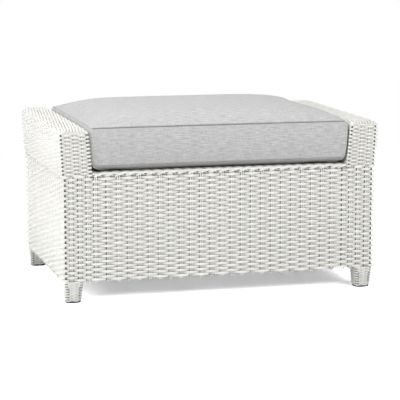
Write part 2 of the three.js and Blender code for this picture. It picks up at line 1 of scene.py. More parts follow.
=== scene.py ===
"""Outdoor ottoman footstool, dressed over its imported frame.

Every strand of the woven resin skins, the rolled borders and the leg wraps is swept over sizes that the
frame gives. The boxed cushion is a sewn cover that a cloth simulation inflates. Metres, +Z up, the front
faces -Y.
"""

import json
import logging
import math
from collections.abc import Iterator
from dataclasses import dataclass, field, replace
from enum import Enum
from itertools import product

import bpy
import numpy as np
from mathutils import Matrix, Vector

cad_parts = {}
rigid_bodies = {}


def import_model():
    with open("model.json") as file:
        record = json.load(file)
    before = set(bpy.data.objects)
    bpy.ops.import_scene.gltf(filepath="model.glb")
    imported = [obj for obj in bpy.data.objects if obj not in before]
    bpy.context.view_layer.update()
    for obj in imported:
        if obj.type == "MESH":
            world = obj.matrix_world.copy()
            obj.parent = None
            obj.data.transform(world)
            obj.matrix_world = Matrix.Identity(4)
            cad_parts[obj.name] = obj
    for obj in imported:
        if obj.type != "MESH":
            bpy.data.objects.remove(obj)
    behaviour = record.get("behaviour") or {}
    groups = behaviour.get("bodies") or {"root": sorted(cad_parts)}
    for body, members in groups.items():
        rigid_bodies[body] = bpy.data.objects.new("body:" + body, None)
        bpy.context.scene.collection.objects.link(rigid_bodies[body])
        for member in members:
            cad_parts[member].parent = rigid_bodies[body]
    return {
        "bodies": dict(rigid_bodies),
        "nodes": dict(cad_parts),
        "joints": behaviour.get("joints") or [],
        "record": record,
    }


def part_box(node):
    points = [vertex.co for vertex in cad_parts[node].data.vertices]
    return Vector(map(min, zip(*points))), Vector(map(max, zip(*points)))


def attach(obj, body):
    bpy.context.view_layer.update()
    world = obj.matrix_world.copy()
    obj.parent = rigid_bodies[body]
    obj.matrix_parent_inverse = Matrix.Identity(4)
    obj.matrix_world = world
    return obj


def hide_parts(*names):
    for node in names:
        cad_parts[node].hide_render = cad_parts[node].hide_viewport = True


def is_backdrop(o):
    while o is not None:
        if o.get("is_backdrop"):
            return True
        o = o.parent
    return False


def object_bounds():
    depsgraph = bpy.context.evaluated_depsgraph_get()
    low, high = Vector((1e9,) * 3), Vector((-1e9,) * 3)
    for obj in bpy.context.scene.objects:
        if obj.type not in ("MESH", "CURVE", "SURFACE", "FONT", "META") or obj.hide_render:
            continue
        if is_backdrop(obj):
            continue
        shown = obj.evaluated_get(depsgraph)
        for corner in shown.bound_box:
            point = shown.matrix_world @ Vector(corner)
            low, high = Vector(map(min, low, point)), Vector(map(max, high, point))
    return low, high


LOG = logging.getLogger("ottoman")
MM = 0.001
BAKE_MAP = "OFBake"
LENGTH_MAP = "Lengths"
SECTION_MAP = "Section"
TONE = "tone"
# Mark of the seams: the points that the cloth simulation holds, and the cloth's painted shade along them.
SEAM = "seam"

Array = np.ndarray
Material = bpy.types.Material
Node = bpy.types.Node
NodeTree = bpy.types.NodeTree
Object = bpy.types.Object
Socket = bpy.types.NodeSocket


class Half(Enum):
    """One of the ottoman's two halves; the value is a sign."""

    @property
    def label(self) -> str:
        """The word that node and piece names use."""
        return self.name.lower()


class Side(Half):
    """Left or right half; the value is the sign of X."""

    LEFT = -1
    RIGHT = 1


class End(Half):
    """Front or back half; the value is the sign of Y."""

    FRONT = -1
    BACK = 1


def srgb(code: str) -> tuple[float, float, float, float]:
    """Turns a hex colour into the linear values that shaders take.

    Args:
        code: sRGB colour such as "#f1efe9".

    Returns:
        Linear red, green and blue, and an alpha of 1.
    """
    shares = [int(code[i : i + 2], 16) / 255 for i in (1, 3, 5)]
    linear = [c / 12.92 if c <= 0.04045 else ((c + 0.055) / 1.055) ** 2.4 for c in shares]
    return (*linear, 1.0)


def add_node(tree: NodeTree, kind: str, settings: dict | None = None, links: dict | None = None) -> Node:
    """Adds a node with its settings and links.

    Args:
        tree: Node tree that the node goes into.
        kind: The node's type name, without its leading ShaderNode.
        settings: Values by attribute name, or by input name or number.
        links: Output sockets by input name or number. A node stands for its first output.

    Returns:
        The new node.
    """
    node = tree.nodes.new("ShaderNode" + kind)
    for key, value in (settings or {}).items():
        if isinstance(key, str) and hasattr(node, key):
            setattr(node, key, value)
        else:
            node.inputs[key].default_value = value
    for key, source in (links or {}).items():
        socket = source.outputs[0] if isinstance(source, Node) else source
        tree.links.new(socket, node.inputs[key])
    return node


def empty_tree(owner: Material | bpy.types.World) -> NodeTree:
    """Turns on the nodes of a material or a world, and empties its tree."""
    owner.use_nodes = True
    owner.node_tree.nodes.clear()
    return owner.node_tree


def add_streaks(tree: NodeTree, place: Node, size: tuple[float, float], detail: float) -> Node:
    """Adds a pattern of streaks.

    Args:
        tree: The material's node tree.
        place: Node that gives the place on the piece, in metres.
        size: Length and width of a streak.
        detail: How broken the streaks are.

    Returns:
        The pattern's node.
    """
    squeeze = add_node(tree, "Mapping", {"Scale": (1 / size[0], 1 / size[1], 1)}, {"Vector": place})
    return add_node(tree, "TexNoise", {"Scale": 1.0, "Detail": detail}, {"Vector": squeeze})


def add_surface(
    tree: NodeTree, links: dict, settings: dict, relief: Node, height: float, strength: float
) -> None:
    """Adds the surface shader with a fine relief, and the material's output.

    Args:
        tree: The material's node tree.
        links: The shader's linked inputs.
        settings: The shader's plain inputs.
        relief: Node that gives the relief.
        height: The relief's height.
        strength: How much of the relief shows.
    """
    bump = add_node(tree, "Bump", {"Strength": strength, "Distance": height}, {"Height": relief})
    shader = add_node(tree, "BsdfPrincipled", settings, {**links, "Normal": bump})
    add_node(tree, "OutputMaterial", links={"Surface": shader})


@dataclass(frozen=True)
class ResinStrand:
    """Extruded polyethylene strand, moulded with fine lengthwise ribs and coloured warm white in the mass.

    It has a soft satin gloss: the crests catch a broad pale streak. The colour wanders a little from strand
    to strand, as each reel is dyed by itself. Painted shade greys the strands' edges where they meet, most
    of all where they dive behind a stake.
    """

    name: str = "resin_strand_warm_white"
    light: str = "#f8f7f4"
    dark: str = "#efeee9"
    # Colour of the painted shade where strands meet and where they dive behind a stake.
    dust: str = "#4b4945"
    dust_fade: float = 0.14
    rib_pitch: float = 1.3 * MM
    rib_height: float = 0.05 * MM
    rib_strength: float = 0.6
    speck: tuple[float, float] = (20.833 * MM, 2.5 * MM)
    speck_share: float = 0.35
    speck_detail: float = 2.0
    roughness: float = 0.55
    roughness_spread: float = 0.06
    ior: float = 1.5

    def build(self) -> Material:
        """Builds the material."""
        material = bpy.data.materials.new(self.name)
        tree = empty_tree(material)
        place = add_node(tree, "UVMap", {"uv_map": LENGTH_MAP})
        parts = add_node(tree, "SeparateXYZ", links={0: place})
        tone = add_node(tree, "Attribute", {"attribute_name": TONE})
        specks = add_streaks(tree, place, self.speck, self.speck_detail)
        wander = {"operation": "MULTIPLY_ADD", 1: self.speck_share}
        blend = add_node(tree, "Math", wander, {0: specks, 2: tone.outputs["Fac"]})
        shades = {"data_type": "RGBA", 6: srgb(self.light), 7: srgb(self.dark)}
        colour = self._dusted(tree, add_node(tree, "Mix", shades, {0: blend}).outputs[2])
        rib_turn = {"operation": "MULTIPLY", 1: 2 * math.pi / self.rib_pitch}
        turn = add_node(tree, "Math", rib_turn, {0: parts.outputs[1]})
        ribs = add_node(tree, "Math", {"operation": "SINE"}, {0: turn})
        low, high = self.roughness - self.roughness_spread, self.roughness + self.roughness_spread
        gloss = add_node(tree, "MapRange", {"To Min": low, "To Max": high}, {"Value": specks})
        links = {"Base Color": colour, "Roughness": gloss}
        add_surface(tree, links, {"IOR": self.ior}, ribs, self.rib_height, self.rib_strength)
        return material

    def _dusted(self, tree: NodeTree, colour: Socket) -> Socket:
        """Paints shade on the strand, greying it from its unshaded middle out to its edges.

        Args:
            tree: The material's node tree.
            colour: The strand's colour before its painted shade.

        Returns:
            The colour with its painted shade.
        """
        place = add_node(tree, "UVMap", {"uv_map": SECTION_MAP})
        parts = add_node(tree, "SeparateXYZ", links={0: place})
        turn = add_node(tree, "Math", {"operation": "MULTIPLY", 1: 2 * math.pi}, {0: parts.outputs[1]})
        side = add_node(tree, "Math", {"operation": "COSINE"}, {0: turn})
        edge = add_node(tree, "Math", {"operation": "ABSOLUTE"}, {0: side})
        # Painted shade grows where the section's angle lies past the strand's unshaded part.
        past = add_node(tree, "Math", {"operation": "SUBTRACT"}, {0: edge, 1: parts.outputs[0]})
        fade = {"interpolation_type": "SMOOTHSTEP", "From Max": self.dust_fade}
        share = add_node(tree, "MapRange", fade, {"Value": past})
        shaded = add_node(tree, "Mix", {"data_type": "RGBA", 7: srgb(self.dust)}, {0: share, 6: colour})
        return shaded.outputs[2]


@dataclass(frozen=True)
class GrainedSkin:
    """Even skin with a fine grain and a faint mottle, both laid in the piece's own space.

    Attributes:
        main: The main colour.
        mottle: The colour of its patches.
        grain_strength: How much of the grain's relief shows.
        grain_detail: How broken the grain is.
        mottle_range: Shares of the mottle at which the colour starts and ends to turn.
    """

    name: str
    main: str
    mottle: str
    grain_size: float
    grain_height: float
    grain_strength: float
    mottle_size: float
    roughness: float
    ior: float
    grain_detail: float = 2.0
    mottle_range: tuple[float, float] = (0.0, 1.0)

    def build(self) -> Material:
        """Builds the material."""
        material = bpy.data.materials.new(self.name)
        tree = empty_tree(material)
        place = {"Vector": add_node(tree, "TexCoord").outputs["Object"]}
        size = {"Scale": 1 / self.grain_size, "Detail": self.grain_detail}
        grain = add_node(tree, "TexNoise", size, place)
        patches = add_node(tree, "TexNoise", {"Scale": 1 / self.mottle_size}, place)
        low, high = self.mottle_range
        share = add_node(tree, "MapRange", {"From Min": low, "From Max": high}, {"Value": patches})
        shades = {"data_type": "RGBA", 6: srgb(self.main), 7: srgb(self.mottle)}
        colour = add_node(tree, "Mix", shades, {0: share})
        settings = {"Roughness": self.roughness, "IOR": self.ior}
        links = {"Base Color": colour.outputs[2]}
        add_surface(tree, links, settings, grain, self.grain_height, self.grain_strength)
        return material


@dataclass(frozen=True)
class PowderCoat(GrainedSkin):
    """White polyester powder coat baked on aluminium tube: an even satin skin with a faint orange peel."""

    name: str = "powder_coat_white"
    main: str = "#eeede9"
    mottle: str = "#e3e2dd"
    grain_size: float = 1.8 * MM
    grain_height: float = 0.06 * MM
    grain_strength: float = 0.5
    mottle_size: float = 111.1 * MM
    roughness: float = 0.38
    ior: float = 1.5
    grain_detail: float = 1.0


@dataclass(frozen=True)
class MouldedGlide(GrainedSkin):
    """Injection-moulded charcoal polypropylene: matt, with a spark-eroded grain and scuffed patches."""

    name: str = "moulded_polypropylene_charcoal"
    main: str = "#2e2e30"
    mottle: str = "#55555a"
    grain_size: float = 0.9 * MM
    grain_height: float = 0.05 * MM
    grain_strength: float = 0.7
    mottle_size: float = 16.67 * MM
    roughness: float = 0.62
    ior: float = 1.49
    mottle_range: tuple[float, float] = (0.55, 0.8)


@dataclass(frozen=True)
class MouldedZip(GrainedSkin):
    """Moulded nylon of the zip's coil, slider and pull: mid grey with a soft gloss, a little cloudy."""

    name: str = "moulded_nylon_grey"
    main: str = "#a4a6a9"
    mottle: str = "#8f9195"
    grain_size: float = 1.5 * MM
    grain_height: float = 0.03 * MM
    grain_strength: float = 0.3
    mottle_size: float = 1.5 * MM
    roughness: float = 0.42
    ior: float = 1.53


@dataclass(frozen=True)
class OutdoorCloth:
    """Solution-dyed acrylic cloth, plain woven from two greys of yarn.

    The weft is heathered, which gives fine level streaks, with fainter and shorter ones along the warp, and
    the matt yarn has a faint sheen at its edges. The threads are drawn about twice as coarse as the real
    0.6 mm ones, so that they show. Along the bottom of each seam the cloth is darkened as painted shade.
    """

    name: str = "heathered_acrylic_cloth_grey"
    light: str = "#d9d9d9"
    dark: str = "#aeaeae"
    # Colour of the painted shade along the seams.
    crease: str = "#7c7c7c"
    thread: float = 1.2 * MM
    thread_height: float = 0.16 * MM
    thread_strength: float = 0.5
    yarn_shade: float = 0.16
    weft_streak: tuple[float, float] = (24 * MM, 2.0 * MM)
    warp_streak: tuple[float, float] = (2.2 * MM, 13 * MM)
    warp_share: float = 0.5
    streak_detail: float = 3.0
    streak_spread: float = 0.24
    roughness: float = 0.93
    sheen: float = 0.12
    sheen_roughness: float = 0.5

    def build(self) -> Material:
        """Builds the material."""
        material = bpy.data.materials.new(self.name)
        tree = empty_tree(material)
        place = add_node(tree, "UVMap", {"uv_map": LENGTH_MAP})
        parts = add_node(tree, "SeparateXYZ", links={0: place})
        sizes = (self.weft_streak, self.warp_streak)
        weft, warp = (add_streaks(tree, place, size, self.streak_detail) for size in sizes)
        both = {"operation": "MULTIPLY_ADD", 1: self.warp_share}
        heather = add_node(tree, "Math", both, {0: warp, 2: weft})
        waves = []
        for along in (parts.outputs[0], parts.outputs[1]):
            turn = add_node(tree, "Math", {"operation": "MULTIPLY", 1: math.pi / self.thread}, {0: along})
            waves.append(add_node(tree, "Math", {"operation": "SINE"}, {0: turn}))
        weave = add_node(tree, "Math", {"operation": "MULTIPLY"}, {0: waves[0], 1: waves[1]})
        shade = {"From Min": -1.0, "To Min": -self.yarn_shade, "To Max": self.yarn_shade}
        yarn = add_node(tree, "MapRange", shade, {"Value": weave})
        middle = (1 + self.warp_share) / 2
        low, high = middle - self.streak_spread, middle + self.streak_spread
        whole = {"From Min": low, "From Max": high, "clamp": False}
        spread = add_node(tree, "MapRange", whole, {"Value": heather})
        share = add_node(tree, "Math", {"operation": "ADD", "use_clamp": True}, {0: spread, 1: yarn})
        shades = {"data_type": "RGBA", 6: srgb(self.light), 7: srgb(self.dark)}
        colour = add_node(tree, "Mix", shades, {0: share})
        # Painted shade along the seams, as much as the seam attribute gives.
        seam = add_node(tree, "Attribute", {"attribute_name": SEAM})
        seam_shading = {0: seam.outputs["Fac"], 6: colour.outputs[2]}
        seam_shaded = add_node(tree, "Mix", {"data_type": "RGBA", 7: srgb(self.crease)}, seam_shading)
        settings = {
            "Roughness": self.roughness,
            "Sheen Weight": self.sheen,
            "Sheen Roughness": self.sheen_roughness,
        }
        links = {"Base Color": seam_shaded.outputs[2]}
        add_surface(tree, links, settings, weave, self.thread_height, self.thread_strength)
        return material


class Finishes:
    """The finishes, each built once and shared by the pieces that have it."""

    def __init__(self) -> None:
        """Builds every finish."""
        self.resin = ResinStrand().build()
        self.coat = PowderCoat().build()
        self.glide = MouldedGlide().build()
        self.cloth = OutdoorCloth().build()
        self.zip = MouldedZip().build()


# A strand with this for its unshaded part carries no painted shade at all.
ALL_UNSHADED = 2.0
# Each strand has its own lane on the bake map, which it fills to this share. Its ends' small rings lie on
# it.
LANE_SHARE = 0.9
END_BAKE_SIZE = 0.01


class StrandMesh:
    """Gathers swept strands and turns them into one mesh object."""

    def __init__(self, name: str, sides: int = 8, seed: int = 1) -> None:
        """Starts an empty bundle.

        Args:
            name: Name of the piece.
            sides: Points round each strand's section.
            seed: Seed of the strands' tones.
        """
        self.name = name
        self.sides = sides
        self.seed = seed
        self.random = np.random.default_rng(seed)
        self.points: list[Array] = []
        self.tones: list[Array] = []
        self.quads: list[Array] = []
        self.caps: list[Array] = []
        # Each map's places at the corners of the quads, and at those of the caps.
        self.maps = {key: ([], []) for key in (BAKE_MAP, LENGTH_MAP, SECTION_MAP)}
        self.count = 0

    def add(
        self,
        centres: Array,
        normals: Array,
        width: float | Array,
        thickness: float,
        closed: bool = False,
        clean: float | Array = ALL_UNSHADED,
        squareness: float | Array = 0.0,
    ) -> None:
        """Sweeps a rounded section along a line.

        Args:
            centres: Points of the strand's middle, in order.
            normals: Direction at each point in which the strand is thin.
            width: The section's wide size, for all points or for each.
            thickness: The section's thin size.
            closed: Whether the last point joins the first.
            unshaded: How far from its middle a strand has no painted shade, as the section angle's cosine.
            squareness: 0 for an oval section, towards 1 for a flat tape with rounded edges.
        """
        along = self._directions(centres, closed)
        across = np.cross(normals, along)
        across /= np.linalg.norm(across, axis=1, keepdims=True)
        outward = np.cross(along, across)
        total, sides = len(centres), self.sides
        given = (width, clean, squareness)
        width, clean, squareness = (np.broadcast_to(value, (total,)) for value in given)
        angles = np.arange(sides) / sides * 2 * math.pi
        circle = np.stack([np.cos(angles), np.sin(angles)])
        power = 1 - squareness[:, None]
        spread, lift = (np.sign(part) * np.abs(part) ** power for part in circle)
        rings = (
            centres[:, None, :]
            + (width[:, None] / 2 * spread)[:, :, None] * across[:, None, :]
            + (thickness / 2 * lift)[:, :, None] * outward[:, None, :]
        )
        self.points.append(rings.reshape(-1, 3))
        self.tones.append(np.full(total * sides, self.random.random()))
        ends, turns = wall_corners(total if closed else total - 1, sides)
        self.quads.append(self.count + ends % total * sides + turns % sides)
        gaps = np.linalg.norm(np.diff(centres, axis=0), axis=1)
        distance = np.concatenate([[0.0], np.cumsum(gaps), [gaps.sum() + gaps[-1]]])
        girth = math.pi * (width.mean() + thickness) / 2
        places = {
            BAKE_MAP: (distance[ends] / distance[-1], turns / sides),
            LENGTH_MAP: (distance[ends], turns * girth / sides),
            # The section map carries how far each ring is free of painted shade.
            SECTION_MAP: (clean[ends % total], turns / sides),
        }
        for key, pair in places.items():
            self.maps[key][0].append(np.dstack(pair))
        if not closed:
            self._cap(total, circle.T)
        self.count += total * sides

    def _cap(self, total: int, circle: Array) -> None:
        """Closes both ends of the strand that is being added.

        Args:
            total: Number of the strand's points.
            circle: Unit circle with as many points as the section.
        """
        places = {
            BAKE_MAP: 0.5 + END_BAKE_SIZE * circle,
            LENGTH_MAP: np.zeros(circle.shape),
            SECTION_MAP: np.full(circle.shape, ALL_UNSHADED),
        }
        turn = np.arange(self.sides)
        for ring, order in ((0, turn[::-1]), (total - 1, turn)):
            self.caps.append(self.count + ring * self.sides + order)
            for key, values in places.items():
                self.maps[key][1].append(values)

    @staticmethod
    def _directions(centres: Array, closed: bool) -> Array:
        """Unit directions along a line of points."""
        if closed:
            along = np.roll(centres, -1, 0) - np.roll(centres, 1, 0)
        else:
            along = np.gradient(centres, axis=0)
        return along / np.linalg.norm(along, axis=1, keepdims=True)

    def rod(self, start: Array, end: Array, normal: Array, diameter: float) -> None:
        """Adds a straight round rod between two points."""
        self.add(np.stack([start, (start + end) / 2, end]), np.tile(normal, (3, 1)), diameter, diameter)

    def build(self, material: Material) -> Object:
        """Makes the mesh object with its maps and its tone attribute.

        Args:
            material: Finish of every strand.

        Returns:
            The new object, linked to the scene.
        """
        quads = np.concatenate(self.quads)
        caps = np.array(self.caps).reshape(-1, self.sides)
        mesh = fill_mesh(self.name, np.concatenate(self.points), [quads, caps])
        strips, cap_strips = self.maps[BAKE_MAP]
        lanes = len(strips)
        numbers = [*range(lanes), *(index // 2 % lanes for index in range(len(cap_strips)))]
        placed = [
            (strip * [1, LANE_SHARE] + [0, number]) / [1, lanes]
            for strip, number in zip(strips + cap_strips, numbers)
        ]
        for key, (sides, ends) in self.maps.items():
            add_map(mesh, key, placed if key == BAKE_MAP else sides + ends)
        tones = np.concatenate(self.tones).astype(np.float32)
        mesh.attributes.new(TONE, "FLOAT", "POINT").data.foreach_set("value", tones)
        mesh.materials.append(material)
        return link_mesh(self.name, mesh)


def fill_mesh(name: str, points: Array, groups: list[Array]) -> bpy.types.Mesh:
    """Fills a smooth-shaded mesh from arrays.

    Args:
        name: The mesh's name.
        points: Vertex places, one row each.
        groups: Arrays of faces, each with its own number of corners.

    Returns:
        The new mesh.
    """
    groups = [group for group in groups if len(group)]
    corners = np.concatenate([group.ravel() for group in groups])
    totals = np.concatenate([np.full(len(group), group.shape[1]) for group in groups])
    starts = np.concatenate([[0], np.cumsum(totals)[:-1]])
    mesh = bpy.data.meshes.new(name)
    mesh.vertices.add(len(points))
    mesh.vertices.foreach_set("co", points.astype(np.float32).ravel())
    mesh.loops.add(len(corners))
    mesh.loops.foreach_set("vertex_index", corners.astype(np.int32))
    mesh.polygons.add(len(totals))
    mesh.polygons.foreach_set("loop_start", starts.astype(np.int32))
    mesh.polygons.foreach_set("loop_total", totals.astype(np.int32))
    mesh.polygons.foreach_set("use_smooth", np.ones(len(totals), bool))
    mesh.update(calc_edges=True)
    mesh.validate(clean_customdata=False)
    return mesh


def add_map(mesh: bpy.types.Mesh, name: str, parts: list[Array]) -> None:
    """Adds a UV map.

    Args:
        mesh: The mesh.
        name: The map's name.
        parts: Places of the faces' corners, in the faces' order.
    """
    layer = mesh.uv_layers.new(name=name)
    values = np.concatenate([part.reshape(-1, 2) for part in parts])
    layer.uv.foreach_set("vector", values.astype(np.float32).ravel())


def link_mesh(name: str, mesh: bpy.types.Mesh) -> Object:
    """Links a mesh to the scene as an object."""
    piece = bpy.data.objects.new(name, mesh)
    bpy.context.scene.collection.objects.link(piece)
    return piece


def grid_quads(numbers: Array) -> Array:
    """Quads over a grid of point numbers, facing +Z where the grid runs along X and Y."""
    corners = (numbers[:-1, :-1], numbers[1:, :-1], numbers[1:, 1:], numbers[:-1, 1:])
    return np.stack([corner.ravel() for corner in corners], 1)


def wall_corners(bands: int, around: int) -> tuple[Array, Array]:
    """Row and column of the four corners of each quad in bands between closed rows of points.

    Args:
        bands: Number of bands.
        around: Number of points in a row.

    Returns:
        Rows and columns, one line of four for each quad. Those past the last aren't wrapped to the first.
    """
    rows, columns = np.meshgrid(np.arange(bands), np.arange(around), indexing="ij")
    return rows.reshape(-1, 1) + [0, 0, 1, 1], columns.reshape(-1, 1) + [0, 1, 1, 0]


def wall_quads(rows: Array) -> Array:
    """Quads over closed rows of point numbers, anticlockwise and from the bottom up, that face out."""
    row, column = wall_corners(len(rows) - 1, rows.shape[1])
    return rows[row, column % rows.shape[1]]


def subdivide(piece: Object, levels: int) -> None:
    """Subdivides a piece smoothly and applies the result to its mesh."""
    modifier = piece.modifiers.new("smooth", "SUBSURF")
    modifier.levels = modifier.render_levels = levels
    evaluated = piece.evaluated_get(bpy.context.evaluated_depsgraph_get())
    mesh = bpy.data.meshes.new_from_object(evaluated)
    piece.modifiers.clear()
    old = piece.data
    mesh.name = old.name
    piece.data = mesh
    bpy.data.meshes.remove(old)


def settle(piece: Object, body: str, nodes: list[str]) -> Object:
    """Sets a piece on its body and the nodes that it stands for.

    Args:
        piece: The dressed piece.
        body: Name of the body that it rides on.
        nodes: Names of the nodes that it replaces.

    Returns:
        The same piece.
    """
    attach(piece, body)
    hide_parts(*nodes)
    return piece


@dataclass(frozen=True)
class LoopPath:
    """Rounded rectangle seen from above, run anticlockwise from the middle of its front left corner."""

    low: tuple[float, float]
    high: tuple[float, float]
    radius: float
    corner_points: int = 24

    @property
    def eighth(self) -> float:
        """Length of half a corner's arc."""
        return self.radius * math.pi / 4

    @property
    def spans(self) -> tuple[float, float]:
        """Lengths of the straight runs across the width and the depth."""
        return (self.high[0] - self.low[0] - 2 * self.radius, self.high[1] - self.low[1] - 2 * self.radius)

    def corners(self) -> Array:
        """Distances of the corners' middles: front left, front right, back right, back left, front left."""
        wide, deep = (span + 2 * self.eighth for span in self.spans)
        return np.array([0, wide, wide + deep, 2 * wide + deep, 2 * wide + 2 * deep])

    def places(self, run: int, across: Array) -> Array:
        """Distances of points on one run, given by X on the front and back or by Y on the sides.

        Args:
            run: 0 front, 1 right, 2 back, 3 left.
            across: Coordinates along the run, in the order that the run takes.

        Returns:
            Distances round the path.
        """
        axis = run % 2
        start = self.corners()[run] + self.eighth
        if run < 2:
            return start + across - self.low[axis] - self.radius
        return start + self.high[axis] - self.radius - across

    def at(self, distances: Array) -> tuple[Array, Array]:
        """Points and outward directions at distances round the path.

        Args:
            distances: Distances from the middle of the front left corner.

        Returns:
            Points and unit outward normals, both in X and Y.
        """
        reach = self.radius
        # Each corner's centre, and the half turns where its arc starts and ends. The first comes twice.
        centres = [
            (self.low[0] + reach, self.low[1] + reach, 1.25, 1.5),
            (self.high[0] - reach, self.low[1] + reach, 1.5, 2.0),
            (self.high[0] - reach, self.high[1] - reach, 0.0, 0.5),
            (self.low[0] + reach, self.high[1] - reach, 0.5, 1.0),
            (self.low[0] + reach, self.low[1] + reach, 1.0, 1.25),
        ]
        spans = [*self.spans, *self.spans]
        rows = []
        distance = 0.0
        for index, (x, y, start, end) in enumerate(centres):
            for turn in np.linspace(start, end, self.corner_points) * math.pi:
                passed = distance + reach * (turn - start * math.pi)
                normal = (math.cos(turn), math.sin(turn))
                rows.append((passed, x + reach * normal[0], y + reach * normal[1], *normal))
            distance = rows[-1][0] + (spans[index] if index < len(spans) else 0.0)
        table = np.array(rows)
        x, y, nx, ny = (np.interp(distances, table[:, 0], table[:, column]) for column in (1, 2, 3, 4))
        normals = np.stack([nx, ny], 1)
        return np.stack([x, y], 1), normals / np.linalg.norm(normals, axis=1, keepdims=True)


@dataclass(frozen=True)
class WeaveStyle:
    """Sizes of one kind of weave.

    Attributes:
        pitch: Distance between neighbouring courses.
        crest_width: A strand's width where it passes outside a stake.
        middle_width: Its width halfway between two stakes, where its neighbours touch it.
        dive_width: Its width where it passes inside one, wide so that the wall is closed from behind.
        thickness: A strand's thickness.
        stake: Diameter of one stake rod.
        stake_gap: Distance between the middles of the two rods of a stake.
        stake_offset: How far outside the wall's middle a stake stands.
        sharpness: 1 for a plain wave, less for one that turns tighter round the stakes.
        squareness: How flat a strand is: 0 for an oval section, towards 1 for a tape.
        unshaded: Section's share free of painted shade at a crest, halfway and at a dive, for
            StrandMesh.add.
        side_clean: The same on walls that face left and right, which get less painted shade.
        side_swing: Share of the swing that strands have there, round flatter stakes.
        side_squareness: How flat they are there.
        dot_size: Size of the painted shade in the hollow right beside a stake, where a strand dives behind
            it.
        dot_dust: How far the painted shade there reaches over the strand, on the scale of unshaded.
        steps: Points of a strand from stake to stake.
        crowding: How much closer those points lie beside a stake than halfway.
        wobble: How far hand work strays.
    """

    pitch: float
    crest_width: float
    middle_width: float
    dive_width: float
    thickness: float
    stake: float = 3.6 * MM
    stake_gap: float = 4.9 * MM
    stake_offset: float = 0.8 * MM
    sharpness: float = 0.8
    squareness: float = 0.35
    clean: tuple[float, float, float] = (0.97, 0.88, 0.45)
    side_clean: tuple[float, float, float] = (1.2, 1.2, 1.1)
    side_swing: float = 0.32
    side_squareness: float = 0.85
    dot_size: float = 1.3 * MM
    dot_dust: float = 1.0
    steps: int = 10
    crowding: float = 0.45
    wobble: float = 0.12 * MM

    @property
    def swing(self) -> float:
        """From the wall's middle to a strand's middle where it passes outside a stake."""
        return self.stake_offset + (self.stake + self.thickness) / 2

    @property
    def reach(self) -> float:
        """From the wall's middle to the outside of a crest."""
        return self.swing + self.thickness / 2

    @property
    def dot_place(self) -> float:
        """From the middle of a stake to the hollow beside it."""
        return (self.stake_gap + self.stake) / 2 + self.dot_size / 3


# Strands with no painted shade all round.
UNSHADED_STRAND = (1.2, 1.2, 1.2)
SKIRT_STYLE = WeaveStyle(
    pitch=6.65 * MM,
    crest_width=7.1 * MM,
    middle_width=6.95 * MM,
    dive_width=12.0 * MM,
    thickness=2.1 * MM,
    stake=3.2 * MM,
    stake_gap=5.2 * MM,
    stake_offset=1.1 * MM,
)
SIDE_STYLE = replace(SKIRT_STYLE, crest_width=7.8 * MM)
ARM_STYLE = WeaveStyle(
    pitch=4.9 * MM,
    crest_width=5.5 * MM,
    middle_width=5.1 * MM,
    dive_width=8.6 * MM,
    thickness=2.4 * MM,
    stake=3.0 * MM,
    stake_gap=4.8 * MM,
    stake_offset=0.5 * MM,
    squareness=0.6,
    clean=(1.15, 1.1, 0.88),
    dot_dust=1.1,
)
CROWN_STYLE = WeaveStyle(
    pitch=3.92 * MM,
    crest_width=4.6 * MM,
    middle_width=4.05 * MM,
    dive_width=6.0 * MM,
    thickness=2.2 * MM,
    stake=1.6 * MM,
    stake_gap=3.4 * MM,
    stake_offset=0.0 * MM,
    squareness=0.55,
    clean=UNSHADED_STRAND,
)
DECK_STYLE = WeaveStyle(
    pitch=6.65 * MM,
    crest_width=7.4 * MM,
    middle_width=6.95 * MM,
    dive_width=11.5 * MM,
    thickness=2.4 * MM,
    stake=2.2 * MM,
    stake_gap=3.4 * MM,
    stake_offset=0.0 * MM,
    steps=6,
)
LEG_STYLE = WeaveStyle(
    pitch=3.45 * MM,
    crest_width=3.4 * MM,
    middle_width=3.6 * MM,
    dive_width=4.8 * MM,
    thickness=1.8 * MM,
    stake=1.0 * MM,
    stake_gap=0.0 * MM,
    stake_offset=0.3 * MM,
    squareness=0.75,
    clean=UNSHADED_STRAND,
    side_clean=UNSHADED_STRAND,
    dot_dust=1.2,
    steps=6,
)

CORNER_RADIUS = 4 * MM
CORNER_PUSH = 1.5 * MM
# Above this share of a corner's turn, a strand that dives gets as much painted shade as in a hollow.
CORNER_SHARE = 0.2
# The higher this power is, the sooner round a corner a side wall's flatter weave with less painted shade
# ends.
SIDE_TURN_POWER = 8
# The side walls' flatter weave stands this much further out, so its crests still reach the frame's faces.
SIDE_PROUD = 3.2 * MM
FRONT_STAKE_PITCH = 27.45 * MM
FRONT_STAKE_INTERVALS = 22
ARM_STAKE_DISTANCES = (84.5 * MM, 65 * MM, 44 * MM, 21 * MM)
SIDE_STAKE_INTERVALS = 19
STAKE_END = 4.5 * MM
# From the seed of a bundle's tones to the seed of its strays.
STRAY_SEED = 10


